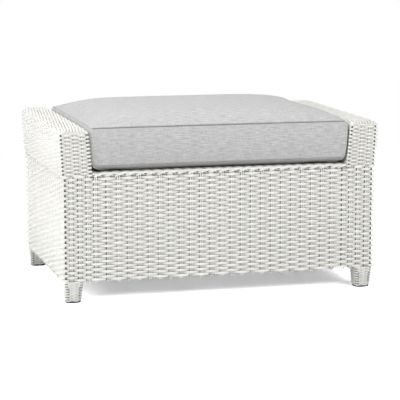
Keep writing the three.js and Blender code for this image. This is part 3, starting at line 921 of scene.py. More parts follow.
@dataclass
class Weaver:
    """Weaves courses over stakes into a bundle of strands."""

    bundle: StrandMesh
    style: WeaveStyle
    seed: int
    random: np.random.Generator = field(init=False)

    def __post_init__(self) -> None:
        """Starts the seeded strays of hand work."""
        self.random = np.random.default_rng(self.seed)

    def stray(self, columns: int, closed: bool) -> Array:
        """A smooth stray along a course, one random value a stake with points between.

        Args:
            columns: Number of stakes.
            closed: Whether the course closes on itself.

        Returns:
            Distances, one for each point of the course.
        """
        values = self.random.normal(0, self.style.wobble, columns)
        if closed:
            values[-1] = values[0]
        places = self.places(columns, closed)
        below = np.minimum(np.floor(places).astype(int), columns - 1)
        share = places - below
        share = share * share * (3 - 2 * share)
        above = np.minimum(below + 1, columns - 1)
        return values[below] * (1 - share) + values[above] * share

    def places(self, columns: int, closed: bool) -> Array:
        """Places of a course's points, counted in stakes."""
        steps = self.style.steps
        total = (columns - 1) * steps + (0 if closed else 1)
        even = np.arange(total) / steps
        return even - self.style.crowding * np.sin(2 * math.pi * even) / (2 * math.pi)

    def course(
        self,
        path: LoopPath,
        columns: Array,
        height: float,
        parity: int,
        tilt: float = 0.0,
        closed: bool = False,
    ) -> None:
        """Weaves one level course round a path.

        Args:
            path: The wall's middle seen from above.
            columns: Distances of the stakes round the path, both ends included.
            height: The course's height.
            parity: 0 or 1: whether it passes outside or inside the first stake.
            tilt: Angle by which the wall leans in, on the path's sides.
            closed: Whether the course closes on itself.
        """
        places = self.places(len(columns), closed)
        distances = np.interp(places, np.arange(len(columns)), columns)
        flat, facing = path.at(distances)
        wave = np.cos(math.pi * (places + parity))
        normals = np.column_stack([facing, math.tan(tilt) * np.abs(facing[:, 0])])
        normals /= np.linalg.norm(normals, axis=1, keepdims=True)
        middle = np.column_stack([flat, np.full(len(flat), height)])
        middle[:, 2] += self.stray(len(columns), closed)
        at_corner = 2 * np.abs(facing[:, 0] * facing[:, 1])
        side_facing = facing[:, 0] ** SIDE_TURN_POWER if tilt == 0 else np.ones(len(facing))
        swing = self._swing(wave) * (1 - (1 - self.style.side_swing) * side_facing)
        middle += normals * (swing + CORNER_PUSH * at_corner * (wave > 0))[:, None]
        apart = np.abs(distances - columns[np.rint(places).astype(int)])
        # Painted shade: a dark spot in the hollow beside each stake, and along the dives round the corners.
        hollow = np.exp(-(((apart - self.style.dot_place) / self.style.dot_size) ** 2)) * (1 - side_facing)
        shade_spots = np.maximum(hollow, at_corner > CORNER_SHARE) * (wave < 0)
        self._lay(middle, normals, wave, side_facing, shade_spots, closed)

    def _swing(self, wave: Array) -> Array:
        """How far a strand's middle lies outside the wall's middle along its wave."""
        return self.style.swing * np.sign(wave) * np.abs(wave) ** self.style.sharpness

    @staticmethod
    def _along(wave: Array, values: tuple[float, float, float]) -> Array:
        """Values along a strand, from those at a crest, halfway and at a dive."""
        crest, middle, dive = values
        return middle + wave**2 * np.where(wave > 0, crest - middle, dive - middle)

    def _lay(
        self,
        middle: Array,
        normals: Array,
        wave: Array,
        side_facing: Array,
        hollow: Array,
        closed: bool = False,
    ) -> None:
        """Lays a strand along its middle.

        Args:
            middle: Points of the strand's middle.
            normals: Outward direction at each point.
            wave: 1 at a crest, -1 at a dive.
            side_facing: 1 where the wall faces left or right, 0 where it faces front or back.
            hollow: 1 where the strand gets its darkest painted shade, by a stake or round a corner, else 0.
            closed: Whether the strand closes on itself.
        """
        style = self.style
        widths = self._along(wave, (style.crest_width, style.middle_width, style.dive_width))
        # Share of each section left free of painted shade; walls that face left and right get less of it.
        clean = (1 - side_facing) * self._along(wave, style.clean) + side_facing * self._along(wave, style.side_clean)
        clean = clean - style.dot_dust * hollow
        squareness = style.squareness + side_facing * (style.side_squareness - style.squareness)
        self.bundle.add(middle, normals, widths, style.thickness, closed, clean, squareness)

    def line(self, line: Array, normals: Array, columns: Array, parity: int) -> None:
        """Weaves one open course along a line in space.

        Args:
            line: Points of the wall's middle, evenly counted in stakes from the first to the last column.
            normals: Outward direction at each point.
            columns: Stake number at each point.
            parity: 0 or 1, as in a course.
        """
        wave = np.cos(math.pi * (columns + parity))
        level = np.zeros(len(line))
        self._lay(line + normals * self._swing(wave)[:, None], normals, wave, level, level)

    def stakes(self, foot: Array, head: Array, along: Array, normal: Array) -> None:
        """Adds a stake of two rods.

        Args:
            foot: Its lower end.
            head: Its upper end.
            along: Unit direction along the courses, in which the two rods lie apart.
            normal: Outward direction of the wall.
        """
        for offset in (-0.5, 0.5):
            shift = along * (offset * self.style.stake_gap) + normal * self.style.stake_offset
            self.bundle.rod(foot + shift, head + shift, normal, self.style.stake)


@dataclass(frozen=True)
class BodySizes:
    """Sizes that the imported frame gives, and the stakes' places that follow them.

    Attributes:
        half_width: Half the skirt's width over the weave.
        half_depth: Half the body's depth over the weave.
        skirt_bottom: Height of the skirt's lower edge.
        deck_base: Underside of the deck's skin.
        deck_top: Top of the deck's skin.
        skin: Thickness of a wall's skin.
        arm_top: Height of the arms.
        arm_outer: Outer face of an arm at its foot and at its shoulder.
        arm_inner: Inner face of an arm at its foot and at its shoulder.
        shoulder: Height at which the arm's rounded shoulder starts.
    """

    half_width: float
    half_depth: float
    skirt_bottom: float
    deck_base: float
    deck_top: float
    skin: float
    arm_top: float
    arm_outer: tuple[float, float]
    arm_inner: tuple[float, float]
    shoulder: float

    @classmethod
    def from_frame(cls) -> "BodySizes":
        """Reads the sizes from the boxes of the skins."""
        front_low, front_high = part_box("front_skin")
        deck_low, deck_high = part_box("deck_skin")
        outer_low, outer_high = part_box("arm_skin_outer_right")
        inner_low, inner_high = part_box("arm_skin_inner_right")
        top_low, top_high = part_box("arm_skin_top_right")
        skin = front_high.y - front_low.y
        return cls(
            half_width=front_high.x,
            half_depth=-front_low.y,
            skirt_bottom=front_low.z,
            deck_base=deck_low.z,
            deck_top=deck_high.z,
            skin=skin,
            arm_top=top_high.z,
            arm_outer=(outer_low.x + skin, outer_high.x),
            arm_inner=(inner_low.x, inner_high.x - skin),
            shoulder=top_low.z,
        )

    @property
    def wall(self) -> float:
        """From a skin's outer face to the middle of its weave."""
        return self.skin / 2

    @property
    def weave_depth(self) -> float:
        """From the body's middle to the middle of the front or back wall's weave."""
        return self.half_depth - self.wall

    @property
    def shoulder_radius(self) -> float:
        """Radius of the arm's rounded shoulder over the weave."""
        return self.arm_top - self.shoulder

    def arm_faces(self, height: float | Array) -> tuple[float | Array, float | Array]:
        """Inner and outer face of an arm at a height."""
        share = (height - self.deck_base) / (self.shoulder - self.deck_base)
        inner = self.arm_inner[0] + share * (self.arm_inner[1] - self.arm_inner[0])
        outer = self.arm_outer[0] + share * (self.arm_outer[1] - self.arm_outer[0])
        return inner, outer

    def skirt_path(self) -> LoopPath:
        """Middle of the skirt's walls, with the tight turn round the corner posts."""
        x, y = self.half_width - self.wall + SIDE_PROUD, self.weave_depth
        return LoopPath((-x, -y), (x, y), CORNER_RADIUS)


def front_stakes(sizes: BodySizes) -> Array:
    """X of the stakes between the front corners, closer together under the arms.

    Args:
        sizes: Sizes from the frame.

    Returns:
        Places from left to right.
    """
    half = FRONT_STAKE_PITCH * FRONT_STAKE_INTERVALS / 2
    middle = np.linspace(-half, half, FRONT_STAKE_INTERVALS + 1)
    right = sizes.half_width - np.array(ARM_STAKE_DISTANCES)
    return np.concatenate([-right[::-1], middle, right])


Bundles = Iterator[tuple[StrandMesh, list[str]]]


class WovenPart:
    """A sub-assembly that is all strand: each bundle that it weaves becomes a piece on the base."""

    def weave(self) -> Bundles:
        """Weaves the bundles one by one, each with the nodes that it stands for."""
        raise NotImplementedError

    def shape(self, piece: Object) -> None:
        """Changes a finished mesh; most sub-assemblies leave it as it is."""

    def build(self, finishes: Finishes) -> list[Object]:
        """Weaves and dresses the sub-assembly.

        Args:
            finishes: The shared finishes.

        Returns:
            One piece for each bundle.
        """
        pieces = []
        for bundle, nodes in self.weave():
            piece = bundle.build(finishes.resin)
            self.shape(piece)
            pieces.append(settle(piece, "base", nodes))
        return pieces


@dataclass
class SkirtWeave(WovenPart):
    """Woven skirt under the deck: four walls that share their corner stakes."""

    sizes: BodySizes
    styles: tuple[WeaveStyle, WeaveStyle] = (SKIRT_STYLE, SIDE_STYLE)
    courses: int = 40
    runs: tuple[str, ...] = ("front", "right", "back", "left")
    seed: int = 11

    def columns(self, path: LoopPath, run: int) -> Array:
        """Distances of one wall's stakes, from corner to corner."""
        corners = path.corners()
        if run % 2:
            return np.linspace(corners[run], corners[run + 1], SIDE_STAKE_INTERVALS + 1)
        stakes = front_stakes(self.sizes)
        inner = path.places(run, stakes if run == 0 else stakes[::-1])
        return np.concatenate([[corners[run]], inner, [corners[run + 1]]])

    def weave(self) -> Bundles:
        """Weaves the four walls."""
        path = self.sizes.skirt_path()
        offset = 0
        for run, label in enumerate(self.runs):
            columns = self.columns(path, run)
            bundle = StrandMesh(f"{label}_weave", seed=self.seed + run)
            weaver = Weaver(bundle, self.styles[run % 2], bundle.seed + STRAY_SEED)
            for course in range(self.courses):
                weaver.course(path, columns, self.height(course), course + offset)
            self._top_course(weaver, path, columns, run, offset)
            self._stakes(weaver, path, columns)
            offset += len(columns) - 1
            yield bundle, [f"{label}_skin"]

    def height(self, course: int) -> float:
        """Height of a course."""
        return self.sizes.skirt_bottom + self.styles[0].pitch * (course + 0.5)

    def _top_course(self, weaver: Weaver, path: LoopPath, columns: Array, run: int, offset: int) -> None:
        """Adds the last course under the arms, which stops where the rolled border starts."""
        height, parity = self.height(self.courses), self.courses + offset
        if run % 2:
            weaver.course(path, columns, height, parity)
            return
        under_arm = len(ARM_STAKE_DISTANCES)
        weaver.course(path, columns[:under_arm], height, parity)
        start = len(columns) - under_arm
        weaver.course(path, columns[start:], height, parity + start)

    def _stakes(self, weaver: Weaver, path: LoopPath, columns: Array) -> None:
        """Adds the stakes between the corners, whose ends show below the last course."""
        flat, facing = path.at(columns[1:-1])
        for point, normal in zip(flat, facing):
            low = np.array([*point, self.sizes.skirt_bottom - STAKE_END])
            high = np.array([*point, self.sizes.deck_base])
            weaver.stakes(low, high, np.array([-normal[1], normal[0], 0.0]), np.array([*normal, 0.0]))


@dataclass
class DeckBorder(WovenPart):
    """Rolled border along the deck's front and back edges.

    Each pair of stake ends comes out of the wall, arches over the next pair and goes in behind it, so that
    the border's top edge is a row of low bumps.

    Attributes:
        sizes: Sizes from the frame.
        rod: Diameter of a stake's end.
        rod_offset: From a pair's middle to the middle of each rod.
        span: Length of an arch, in stakes.
        rise: Height of an arch.
        lead: How far before its stake an arch has its top.
        proud: How far an arch's front stands outside the wall's middle.
        crown: Height of the bumps' tops above the deck.
        steps: Points along an arch.
        out_turn: Angle of the wave by which an arch comes out of the wall and goes back in.
        lean: How fast, and how late, its rods turn from facing out to facing up.
        fewest: Fewest points that make an arch at the border's ends.
        seed: Seed of the strands' tones.
    """

    sizes: BodySizes
    rod: float = 3.3 * MM
    rod_offset: float = 1.6 * MM
    span: float = 1.9
    rise: float = 8.0 * MM
    lead: float = 10.5 * MM
    proud: float = 3.4 * MM
    crown: float = 2.0 * MM
    steps: int = 22
    out_turn: float = 1.5 * math.pi
    lean: tuple[float, float] = (1.4, 0.2)
    fewest: int = 3
    seed: int = 31

    def weave(self) -> Bundles:
        """Lays both borders."""
        for end in End:
            node = f"deck_border_{end.label}"
            low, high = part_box(node)
            bundle = StrandMesh(f"rolled_border_{end.label}", seed=self.seed + end.value)
            stakes = front_stakes(self.sizes)
            inner = stakes[np.abs(stakes) < high.x + FRONT_STAKE_PITCH]
            tops = [inner[0] - FRONT_STAKE_PITCH, *inner, inner[-1] + FRONT_STAKE_PITCH]
            for top in tops:
                self._arch(bundle, end, top - self.lead, (low.x, high.x))
            yield bundle, [node]

    def _arch(self, bundle: StrandMesh, end: End, top: float, limits: tuple[float, float]) -> None:
        """Adds one arch of two rods.

        Args:
            bundle: The border's strands.
            end: Front or back.
            top: X of the arch's top.
            limits: Lowest and highest X of the border.
        """
        share = np.linspace(0, 1, self.steps)
        x = top + (share - 0.5) * self.span * FRONT_STAKE_PITCH
        inside = (x > limits[0]) & (x < limits[1])
        if inside.sum() < self.fewest:
            return
        x, share = x[inside], share[inside]
        base = self.sizes.deck_top + self.crown - self.rise - self.rod_offset - self.rod / 2
        height = base + self.rise * np.sin(math.pi * share)
        out = self.proud * np.sin(self.out_turn * share)
        line = np.column_stack([x, end.value * self.sizes.weave_depth + end.value * out, height])
        lean = math.pi / 2 * np.clip(self.lean[0] * share - self.lean[1], 0, 1)
        outward = np.column_stack([np.zeros(len(x)), end.value * np.cos(lean), np.sin(lean)])
        along = np.gradient(line, axis=0)
        sideways = np.cross(outward, along)
        sideways /= np.linalg.norm(sideways, axis=1, keepdims=True)
        for offset in (-self.rod_offset, self.rod_offset):
            bundle.add(line + sideways * offset, outward, self.rod, self.rod)


@dataclass
class ArmWeave(WovenPart):
    """Woven skin of one arm: level courses round its walls, and lengthwise ones over its rounded top."""

    sizes: BodySizes
    side: Side
    style: WeaveStyle = ARM_STYLE
    crown: WeaveStyle = CROWN_STYLE
    courses: int = 22
    shoulder_course_tilt: float = math.radians(14)
    shoulder_tilts: tuple[float, ...] = (math.radians(40), math.radians(66))
    crown_courses: int = 14
    end_radius: float = 8 * MM
    end_turn: float = math.radians(76)
    end_steps: int = 5
    stake_distances: tuple[float, ...] = (62 * MM, 41.5 * MM, 21 * MM)
    back_climb: float = 4.5 * MM
    shoulder_points: int = 8
    seed: int = 41
    crown_seed: int = 61

    @property
    def head_radius(self) -> float:
        """Radius of the shoulder along the weave's middle."""
        return self.sizes.shoulder_radius - self.sizes.wall

    @property
    def shoulder_centres(self) -> tuple[float, float]:
        """Distances from the body's middle to the centres of the outer and the inner shoulder's arcs."""
        inner, outer = self.sizes.arm_faces(self.sizes.shoulder)
        inset = self.sizes.shoulder_radius - SIDE_PROUD
        return outer - inset, inner + inset

    def path(self, height: float, tilt: float = 0.0) -> LoopPath:
        """Middle of the arm's walls at a height, drawn in where the shoulder leans by a tilt."""
        inner, outer = self.sizes.arm_faces(min(height, self.sizes.shoulder))
        drawn = self.head_radius * (1 - math.cos(tilt))
        inner += self.sizes.wall + drawn - SIDE_PROUD
        outer -= self.sizes.wall + drawn - SIDE_PROUD
        y = self.sizes.weave_depth
        low, high = (inner, outer) if self.side is Side.RIGHT else (-outer, -inner)
        return LoopPath((low, -y), (high, y), CORNER_RADIUS)

    def front_places(self, height: float) -> Array:
        """X of the end walls' stakes at a height, from left to right."""
        outer = self.sizes.arm_faces(min(height, self.sizes.shoulder))[1]
        return np.sort(self.side.value * (outer - np.array(self.stake_distances)))

    def columns(self, path: LoopPath, height: float) -> Array:
        """Distances of the stakes all round the arm."""
        corners = path.corners()
        ends = self.front_places(height)
        side = np.linspace(0, 1, SIDE_STAKE_INTERVALS + 1)[1:-1]
        runs = []
        for run, places in ((0, ends), (2, ends[::-1])):
            start, stop = corners[run + 1 : run + 3]
            runs += [[corners[run]], path.places(run, places), [start], start + side * (stop - start)]
        return np.concatenate([*runs, corners[-1:]])

    def weave(self) -> Bundles:
        """Weaves the arm's walls and its top."""
        label = self.side.label
        walls = StrandMesh(f"arm_walls_{label}", seed=self.seed + self.side.value)
        weaver = Weaver(walls, self.style, walls.seed + STRAY_SEED)
        base, pitch, tilt = self.sizes.deck_base, self.style.pitch, self.shoulder_course_tilt
        levels = [(base + pitch * (course + 0.5), 0.0) for course in range(self.courses)]
        levels.append((self.sizes.shoulder + self.head_radius * math.sin(tilt), tilt))
        for course, (height, tilt) in enumerate(levels):
            path = self.path(height, tilt)
            weaver.course(path, self.columns(path, height), height, course, tilt, closed=True)
        self._wall_stakes(weaver)
        yield walls, [f"arm_skin_{face}_{label}" for face in ("outer", "inner", "front", "back")]
        top = StrandMesh(f"arm_top_{label}", seed=self.crown_seed + self.side.value)
        crown = Weaver(top, self.crown, top.seed + STRAY_SEED)
        self._crown_courses(crown)
        self._cross_stakes(crown)
        yield top, [f"arm_skin_top_{label}"]

    def shape(self, piece: Object) -> None:
        """Lifts the arm towards its back, from nothing at the deck to the whole climb at its top."""
        places = np.empty(len(piece.data.vertices) * 3, np.float32)
        piece.data.vertices.foreach_get("co", places)
        places = places.reshape(-1, 3)
        back = 0.5 + places[:, 1] / (2 * self.sizes.half_depth)
        up = (places[:, 2] - self.sizes.deck_base) / (self.sizes.arm_top - self.sizes.deck_base)
        places[:, 2] += self.back_climb * back * np.clip(up, 0, 1)
        piece.data.vertices.foreach_set("co", places.ravel())

    def _wall_stakes(self, weaver: Weaver) -> None:
        """Adds the end walls' stakes."""
        foot, head = self.sizes.deck_base - STAKE_END, self.sizes.shoulder + self.head_radius / 2
        along = np.array([1.0, 0.0, 0.0])
        for end in End:
            y = end.value * self.sizes.weave_depth
            for low_x, high_x in zip(self.front_places(foot), self.front_places(head)):
                low, high = np.array([low_x, y, foot]), np.array([high_x, y, head])
                weaver.stakes(low, high, along, np.array([0.0, end.value, 0.0]))

    def _head(self) -> tuple[Array, Array]:
        """X and Z of the lengthwise courses' places and outward directions, from the outer shoulder in."""
        outer, inner = self.shoulder_centres
        rows = [(outer, tilt) for tilt in self.shoulder_tilts]
        rows += [(x, math.pi / 2) for x in np.linspace(outer, inner, self.crown_courses)]
        rows += [(inner, math.pi - tilt) for tilt in reversed(self.shoulder_tilts)]
        x, angles = np.array(rows).T
        facing = np.column_stack([self.side.value * np.cos(angles), np.sin(angles)])
        bases = np.column_stack([self.side.value * x, np.full(len(x), self.sizes.shoulder)])
        return bases + facing * self.head_radius, facing

    def _crown_courses(self, weaver: Weaver) -> None:
        """Weaves the lengthwise courses, whose ends turn in over the end walls."""
        half, reach = self.sizes.weave_depth, self.sizes.weave_depth - self.end_radius
        bend = np.linspace(self.end_turn, 0, self.end_steps, endpoint=False)
        level = np.linspace(-reach, reach, SIDE_STAKE_INTERVALS * weaver.style.steps + 1)
        turns = np.concatenate([bend, np.zeros(len(level)), bend[::-1]])[:, None]
        y = np.concatenate([np.full(len(bend), -reach), level, np.full(len(bend), reach)])
        places = np.column_stack([np.zeros(len(y)), y, np.zeros(len(y))])
        ahead = np.sign(places)
        for index, ((x, z), (out_x, out_z)) in enumerate(zip(*self._head())):
            outward = np.array([out_x, 0.0, out_z])
            drop = outward * self.end_radius * (1 - np.cos(turns))
            line = places + [x, 0.0, z] - drop + ahead * self.end_radius * np.sin(turns)
            normals = outward * np.cos(turns) + ahead * np.sin(turns)
            columns = (line[:, 1] + half) / (2 * half) * SIDE_STAKE_INTERVALS
            strays = weaver.random.normal(0, weaver.style.wobble, SIDE_STAKE_INTERVALS + 1)
            line[:, 0] += np.interp(columns, np.arange(len(strays)), strays) * abs(out_z)
            weaver.line(line, normals, columns, self.courses + 1 + index)

    def _cross_stakes(self, weaver: Weaver) -> None:
        """Adds the stakes that go up the outer wall, over the top and down the inner wall."""
        inner, outer = self.sizes.arm_faces(self.sizes.deck_base)
        wall = self.sizes.wall - SIDE_PROUD
        rows = [(outer - wall, self.sizes.deck_base, 1.0, 0.0)]
        for centre, start in zip(self.shoulder_centres, (0.0, 0.5)):
            for angle in np.linspace(start, start + 0.5, self.shoulder_points) * math.pi:
                x, z = math.cos(angle), math.sin(angle)
                point = (centre + self.head_radius * x, self.sizes.shoulder + self.head_radius * z)
                rows.append((*point, x, z))
        rows.append((inner + wall, self.sizes.deck_base, -1.0, 0.0))
        half = self.sizes.weave_depth
        for y in np.linspace(-half, half, SIDE_STAKE_INTERVALS + 1)[1:-1]:
            for offset in (-0.5, 0.5):
                place = y + offset * weaver.style.stake_gap
                points = np.array([(self.side.value * x, place, z) for x, z, _, _ in rows])
                normals = np.array([(self.side.value * x, 0.0, z) for _, _, x, z in rows])
                weaver.bundle.add(points, normals, weaver.style.stake, weaver.style.stake)


@dataclass
class DeckWeave(WovenPart):
    """Woven deck under the cushion."""

    sizes: BodySizes
    style: WeaveStyle = DECK_STYLE
    sides: int = 6
    seeds: tuple[int, int] = (51, 52)

    def weave(self) -> Bundles:
        """Weaves the deck."""
        low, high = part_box("deck_skin")
        bundle = StrandMesh("deck_weave", self.sides, self.seeds[0])
        weaver = Weaver(bundle, self.style, self.seeds[1])
        stakes = front_stakes(self.sizes)
        stakes = stakes[np.abs(stakes) < high.x]
        columns = np.concatenate([[low.x], stakes, [high.x]])
        places = weaver.places(len(columns), closed=False)
        x = np.interp(places, np.arange(len(columns)), columns)
        height = (low.z + high.z) / 2
        courses = int((high.y - low.y) / self.style.pitch)
        pitch = (high.y - low.y) / courses
        normals = np.tile([0.0, 0.0, 1.0], (len(x), 1))
        for course in range(courses):
            y = low.y + (course + 0.5) * pitch + weaver.stray(len(columns), closed=False)
            line = np.column_stack([x, y, np.full(len(x), height)])
            weaver.line(line, normals, places, course)
        for place in stakes:
            foot, head = np.array([place, low.y, height]), np.array([place, high.y, height])
            weaver.stakes(foot, head, np.array([1.0, 0.0, 0.0]), np.array([0.0, 0.0, 1.0]))
        yield bundle, ["deck_skin"]


@dataclass
class LegWraps(WovenPart):
    """Tapered legs, wrapped in finer strand down to the glides."""

    sizes: BodySizes
    style: WeaveStyle = LEG_STYLE
    intervals: int = 3
    corner_radius: float = 12.5 * MM
    foot_proud: float = 0.8 * MM
    sides: int = 6
    seed: int = 61

    def weave(self) -> Bundles:
        """Weaves the four leg wraps."""
        for side, end in product(Side, End):
            corner = f"{end.label}_{side.label}"
            seed = self.seed + side.value + 2 * end.value
            bundle = StrandMesh(f"woven_leg_{corner}", self.sides, seed)
            self._wrap(bundle, corner)
            yield bundle, [f"leg_wrap_{corner}"]

    def _wrap(self, bundle: StrandMesh, corner: str) -> None:
        """Weaves one wrap round its post.

        Args:
            bundle: The wrap's strands.
            corner: The post's corner, as the node names say it.
        """
        low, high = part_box(f"leg_wrap_{corner}")
        glide_low, glide_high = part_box(f"foot_glide_{corner}")
        centre = ((low.x + high.x) / 2, (low.y + high.y) / 2)
        head = (high.x - low.x) / 2
        foot = (glide_high.x - glide_low.x) / 2 + self.foot_proud
        weaver = Weaver(bundle, self.style, bundle.seed + STRAY_SEED)
        courses = round((high.z - low.z) / self.style.pitch)
        paths = []
        for course in range(courses):
            height = low.z + (course + 0.5) * (high.z - low.z) / courses
            path = self._path(centre, foot + (head - foot) * (height - low.z) / (high.z - low.z))
            paths.append(path)
            weaver.course(path, self._columns(path), height, course, closed=True)
        (feet, facing), (heads, _) = (path.at(self._columns(path)[:-1]) for path in (paths[0], paths[-1]))
        for bottom, top, normal in zip(feet, heads, facing):
            start, end = np.array([*bottom, low.z]), np.array([*top, height])
            bundle.rod(start, end, np.array([*normal, 0.0]), self.style.stake)

    def _path(self, centre: tuple[float, float], half: float) -> LoopPath:
        """Middle of the wrap at one height."""
        reach = half - self.style.reach
        low = (centre[0] - reach, centre[1] - reach)
        high = (centre[0] + reach, centre[1] + reach)
        return LoopPath(low, high, self.corner_radius - self.style.reach)

    def _columns(self, path: LoopPath) -> Array:
        """Distances of the wrap's stakes, the same on all four sides."""
        total = path.corners()[-1]
        return np.linspace(0, total, 4 * self.intervals + 1)


RAILS = ("bottom_rail", "deck_rail", "side_rail", "arm_rail")
TUBES = (*RAILS, "corner_post", "arm_inner_post", "deck_cross_bar")


@dataclass(frozen=True)
class PlainParts:
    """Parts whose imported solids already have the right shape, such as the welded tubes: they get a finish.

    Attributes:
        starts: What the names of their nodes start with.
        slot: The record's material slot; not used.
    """

    starts: tuple[str, ...]
    slot: str

    def dress(self, frame: dict, material: Material) -> list[Object]:
        """Gives each part its finish.

        Args:
            material: The finish.

        Returns:
            The dressed parts.
        """
        parts = [node for name, node in frame["nodes"].items() if name.startswith(self.starts)]
        for part in parts:
            if not part.material_slots:
                part.data.materials.append(material)
            for slot in part.material_slots:
                slot.material = material
        return parts


# A direction this close to an axis is that of a straight side.
STRAIGHT = 0.999
# Keeps a division by a length from failing at nothing.
LEAST_LENGTH = 1e-9


class CoverPoints:
    """Gathers the cushion cover's points, with how much painted shade each one gets in a seam's groove."""

    def __init__(self) -> None:
        """Starts with no points."""
        self.parts: list[Array] = []
        self.seam_shades: list[Array] = []
        self.count = 0

    def add(self, points: Array, depth: float = 0.0) -> Array:
        """Adds points and returns their numbers.

        Args:
            points: The new points.
            depth: Painted shade, 1 at the bottom of a seam's groove, 0 clear of it.

        Returns:
            One number for each point.
        """
        numbers = self.count + np.arange(len(points))
        self.parts.append(points)
        self.seam_shades.append(np.full(len(points), depth))
        self.count += len(points)
        return numbers


@dataclass
class Cushion:
    """Boxed cushion: a sewn cover over foam, crowned on top, with puffed seams round both panels.

    Attributes:
        sizes: Sizes from the frame.
        cells: Mesh cells across the width, across the depth and up the boxing.
        crowding: How much closer the mesh cells lie at the sides' ends.
        corner_radius: Radius of the corners seen from above.
        draw_in: How far each side pulls in between its corners.
        flare: How much further out the top seam lies at the two ends than the bottom one.
        crown_share: Share of the crown that the cover has before it is inflated.
        edge_powers: How square the crown's shoulders are across the width and the depth.
        crown_power: The lower, the fuller the crown is between them.
        back_lift: How much higher the top seam lies at the back.
        bulge: How far the boxing swells out halfway between its seams.
        end_fullness: How much fuller it is at the two ends, which rest against the arms.
        belly_reach: How far in from the seam the underside comes to rest.
        belly_swell: How far the underside swells out below the seam.
        seam_depth: Depth of the groove along the top seam.
        pressed: Share of it that the bottom seam has, which the cushion's weight presses shut.
        end_crease: Share of the seams' painted shade at the two ends, where they lie open.
        seam_rows: Distances of the extra rows beside a seam, how far each one puffs out and its painted
            shade.
        seam_raise: How much the cover stands higher than its panel's lower edge.
        cap: The furthest that the simulation may move a point.
        frames: Frames of the simulation.
        pressure: Pressure inside the cover.
        back_clear: Gap left to the zip's tapes.
        side_clear: Gap left to the arms.
        quality: Steps of the simulation in each frame.
        row_limit: Share of the first mesh cell that the extra rows beside a seam may take.
        bake_scale: Length on the bake map for each metre of cloth.
        bake_gap: How far above the top panel the bottom one lies on it.
        bake_wall: Where the boxing's first run lies on it, and how far on each next one does.
        fill: How firmly the cover is filled; not used.
    """

    sizes: BodySizes
    cells: tuple[int, int, int] = (96, 76, 14)
    crowding: float = 0.55
    corner_radius: float = 4 * MM
    draw_in: float = 3 * MM
    flare: float = 4.5 * MM
    crown_share: float = 0.9
    edge_powers: tuple[float, float] = (5.0, 6.0)
    crown_power: float = 0.5
    back_lift: float = 4.5 * MM
    bulge: float = 8 * MM
    end_fullness: float = 0.5
    belly_reach: float = 34 * MM
    belly_swell: float = 0.8 * MM
    seam_depth: float = 3.4 * MM
    pressed: float = 0.35
    end_crease: float = 0.05
    seam_rows: tuple[tuple[float, float, float], ...] = ((1.1 * MM, 0.0, 0.5), (2.9 * MM, 0.9 * MM, 0.0))
    seam_raise: float = 2.4 * MM
    cap: float = 5 * MM
    frames: int = 20
    pressure: float = 4.0
    back_clear: float = 0.4 * MM
    side_clear: float = 1.8 * MM
    quality: int = 6
    row_limit: float = 0.8
    bake_scale: float = 0.9
    bake_gap: float = 0.49
    bake_wall: tuple[float, float] = (0.62, 0.093)
    fill: float = 0.85

    def __post_init__(self) -> None:
        """Reads the cushion's own sizes from its nodes."""
        top_low, top_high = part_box("cushion_top_panel")
        bottom_low, bottom_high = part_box("cushion_bottom_panel")
        self.low = (top_low.x, top_low.y)
        self.high = (top_high.x, top_high.y)
        self.rest = bottom_low.z
        self.seams = (bottom_high.z, top_low.z + self.seam_raise)
        self.crown = top_high.z

    def build(self, finishes: Finishes) -> list[Object]:
        """Makes the sewn and inflated cover.

        Args:
            finishes: The shared finishes.

        Returns:
            The cushion's piece.
        """
        sheets = self._sheets(self.crown_share)
        sheets = self._inflate(sheets)
        piece = self._sew(self._tame(sheets), finishes.cloth)
        nodes = [f"cushion_{part}" for part in ("core", "top_panel", "bottom_panel", "boxing")]
        nodes += ["zip_boxing_upper", "zip_boxing_lower"]
        return [settle(piece, "cushion", nodes)]

    def _outline(self) -> Array:
        """Points round the seam, one for each mesh cell, from the front left corner anticlockwise."""
        path = LoopPath(self.low, self.high, self.corner_radius)
        corners = path.corners()
        runs = zip(corners, corners[1:], self.cells[:2] * 2)
        distances = [start + (stop - start) * self._spread(count)[:-1] for start, stop, count in runs]
        flat, facing = path.at(np.concatenate(distances))
        middle = (np.array(self.low) + np.array(self.high)) / 2
        reach = (np.array(self.high) - np.array(self.low)) / 2 - self.corner_radius
        share = np.clip((flat - middle) / reach, -1, 1)
        is_side = np.abs(facing[:, 0]) > STRAIGHT
        is_straight = is_side | (np.abs(facing[:, 1]) > STRAIGHT)
        is_back = facing[:, 1] > 0.5
        straight = np.where(is_side, share[:, 1], share[:, 0])
        pull = self.draw_in * (1 - straight**2) * is_straight * ~is_back
        return flat - facing * pull[:, None]

    def _spread(self, count: int) -> Array:
        """Shares of the way along a side at which its mesh cells start and end, closer at both ends."""
        even = np.linspace(0, 1, count + 1)
        return even - self.crowding * np.sin(2 * np.pi * even) / (2 * np.pi)

    def _ring_places(self) -> tuple[Array, Array]:
        """Places of the outline's points on a panel's grid, as numbers across and along."""
        wide, deep = self.cells[:2]
        across, along = np.arange(wide), np.arange(deep)
        columns = [across, np.full(deep, wide), wide - across, np.zeros(deep, int)]
        rows = [np.zeros(wide, int), along, np.full(wide, deep), deep - along]
        return np.concatenate(columns), np.concatenate(rows)

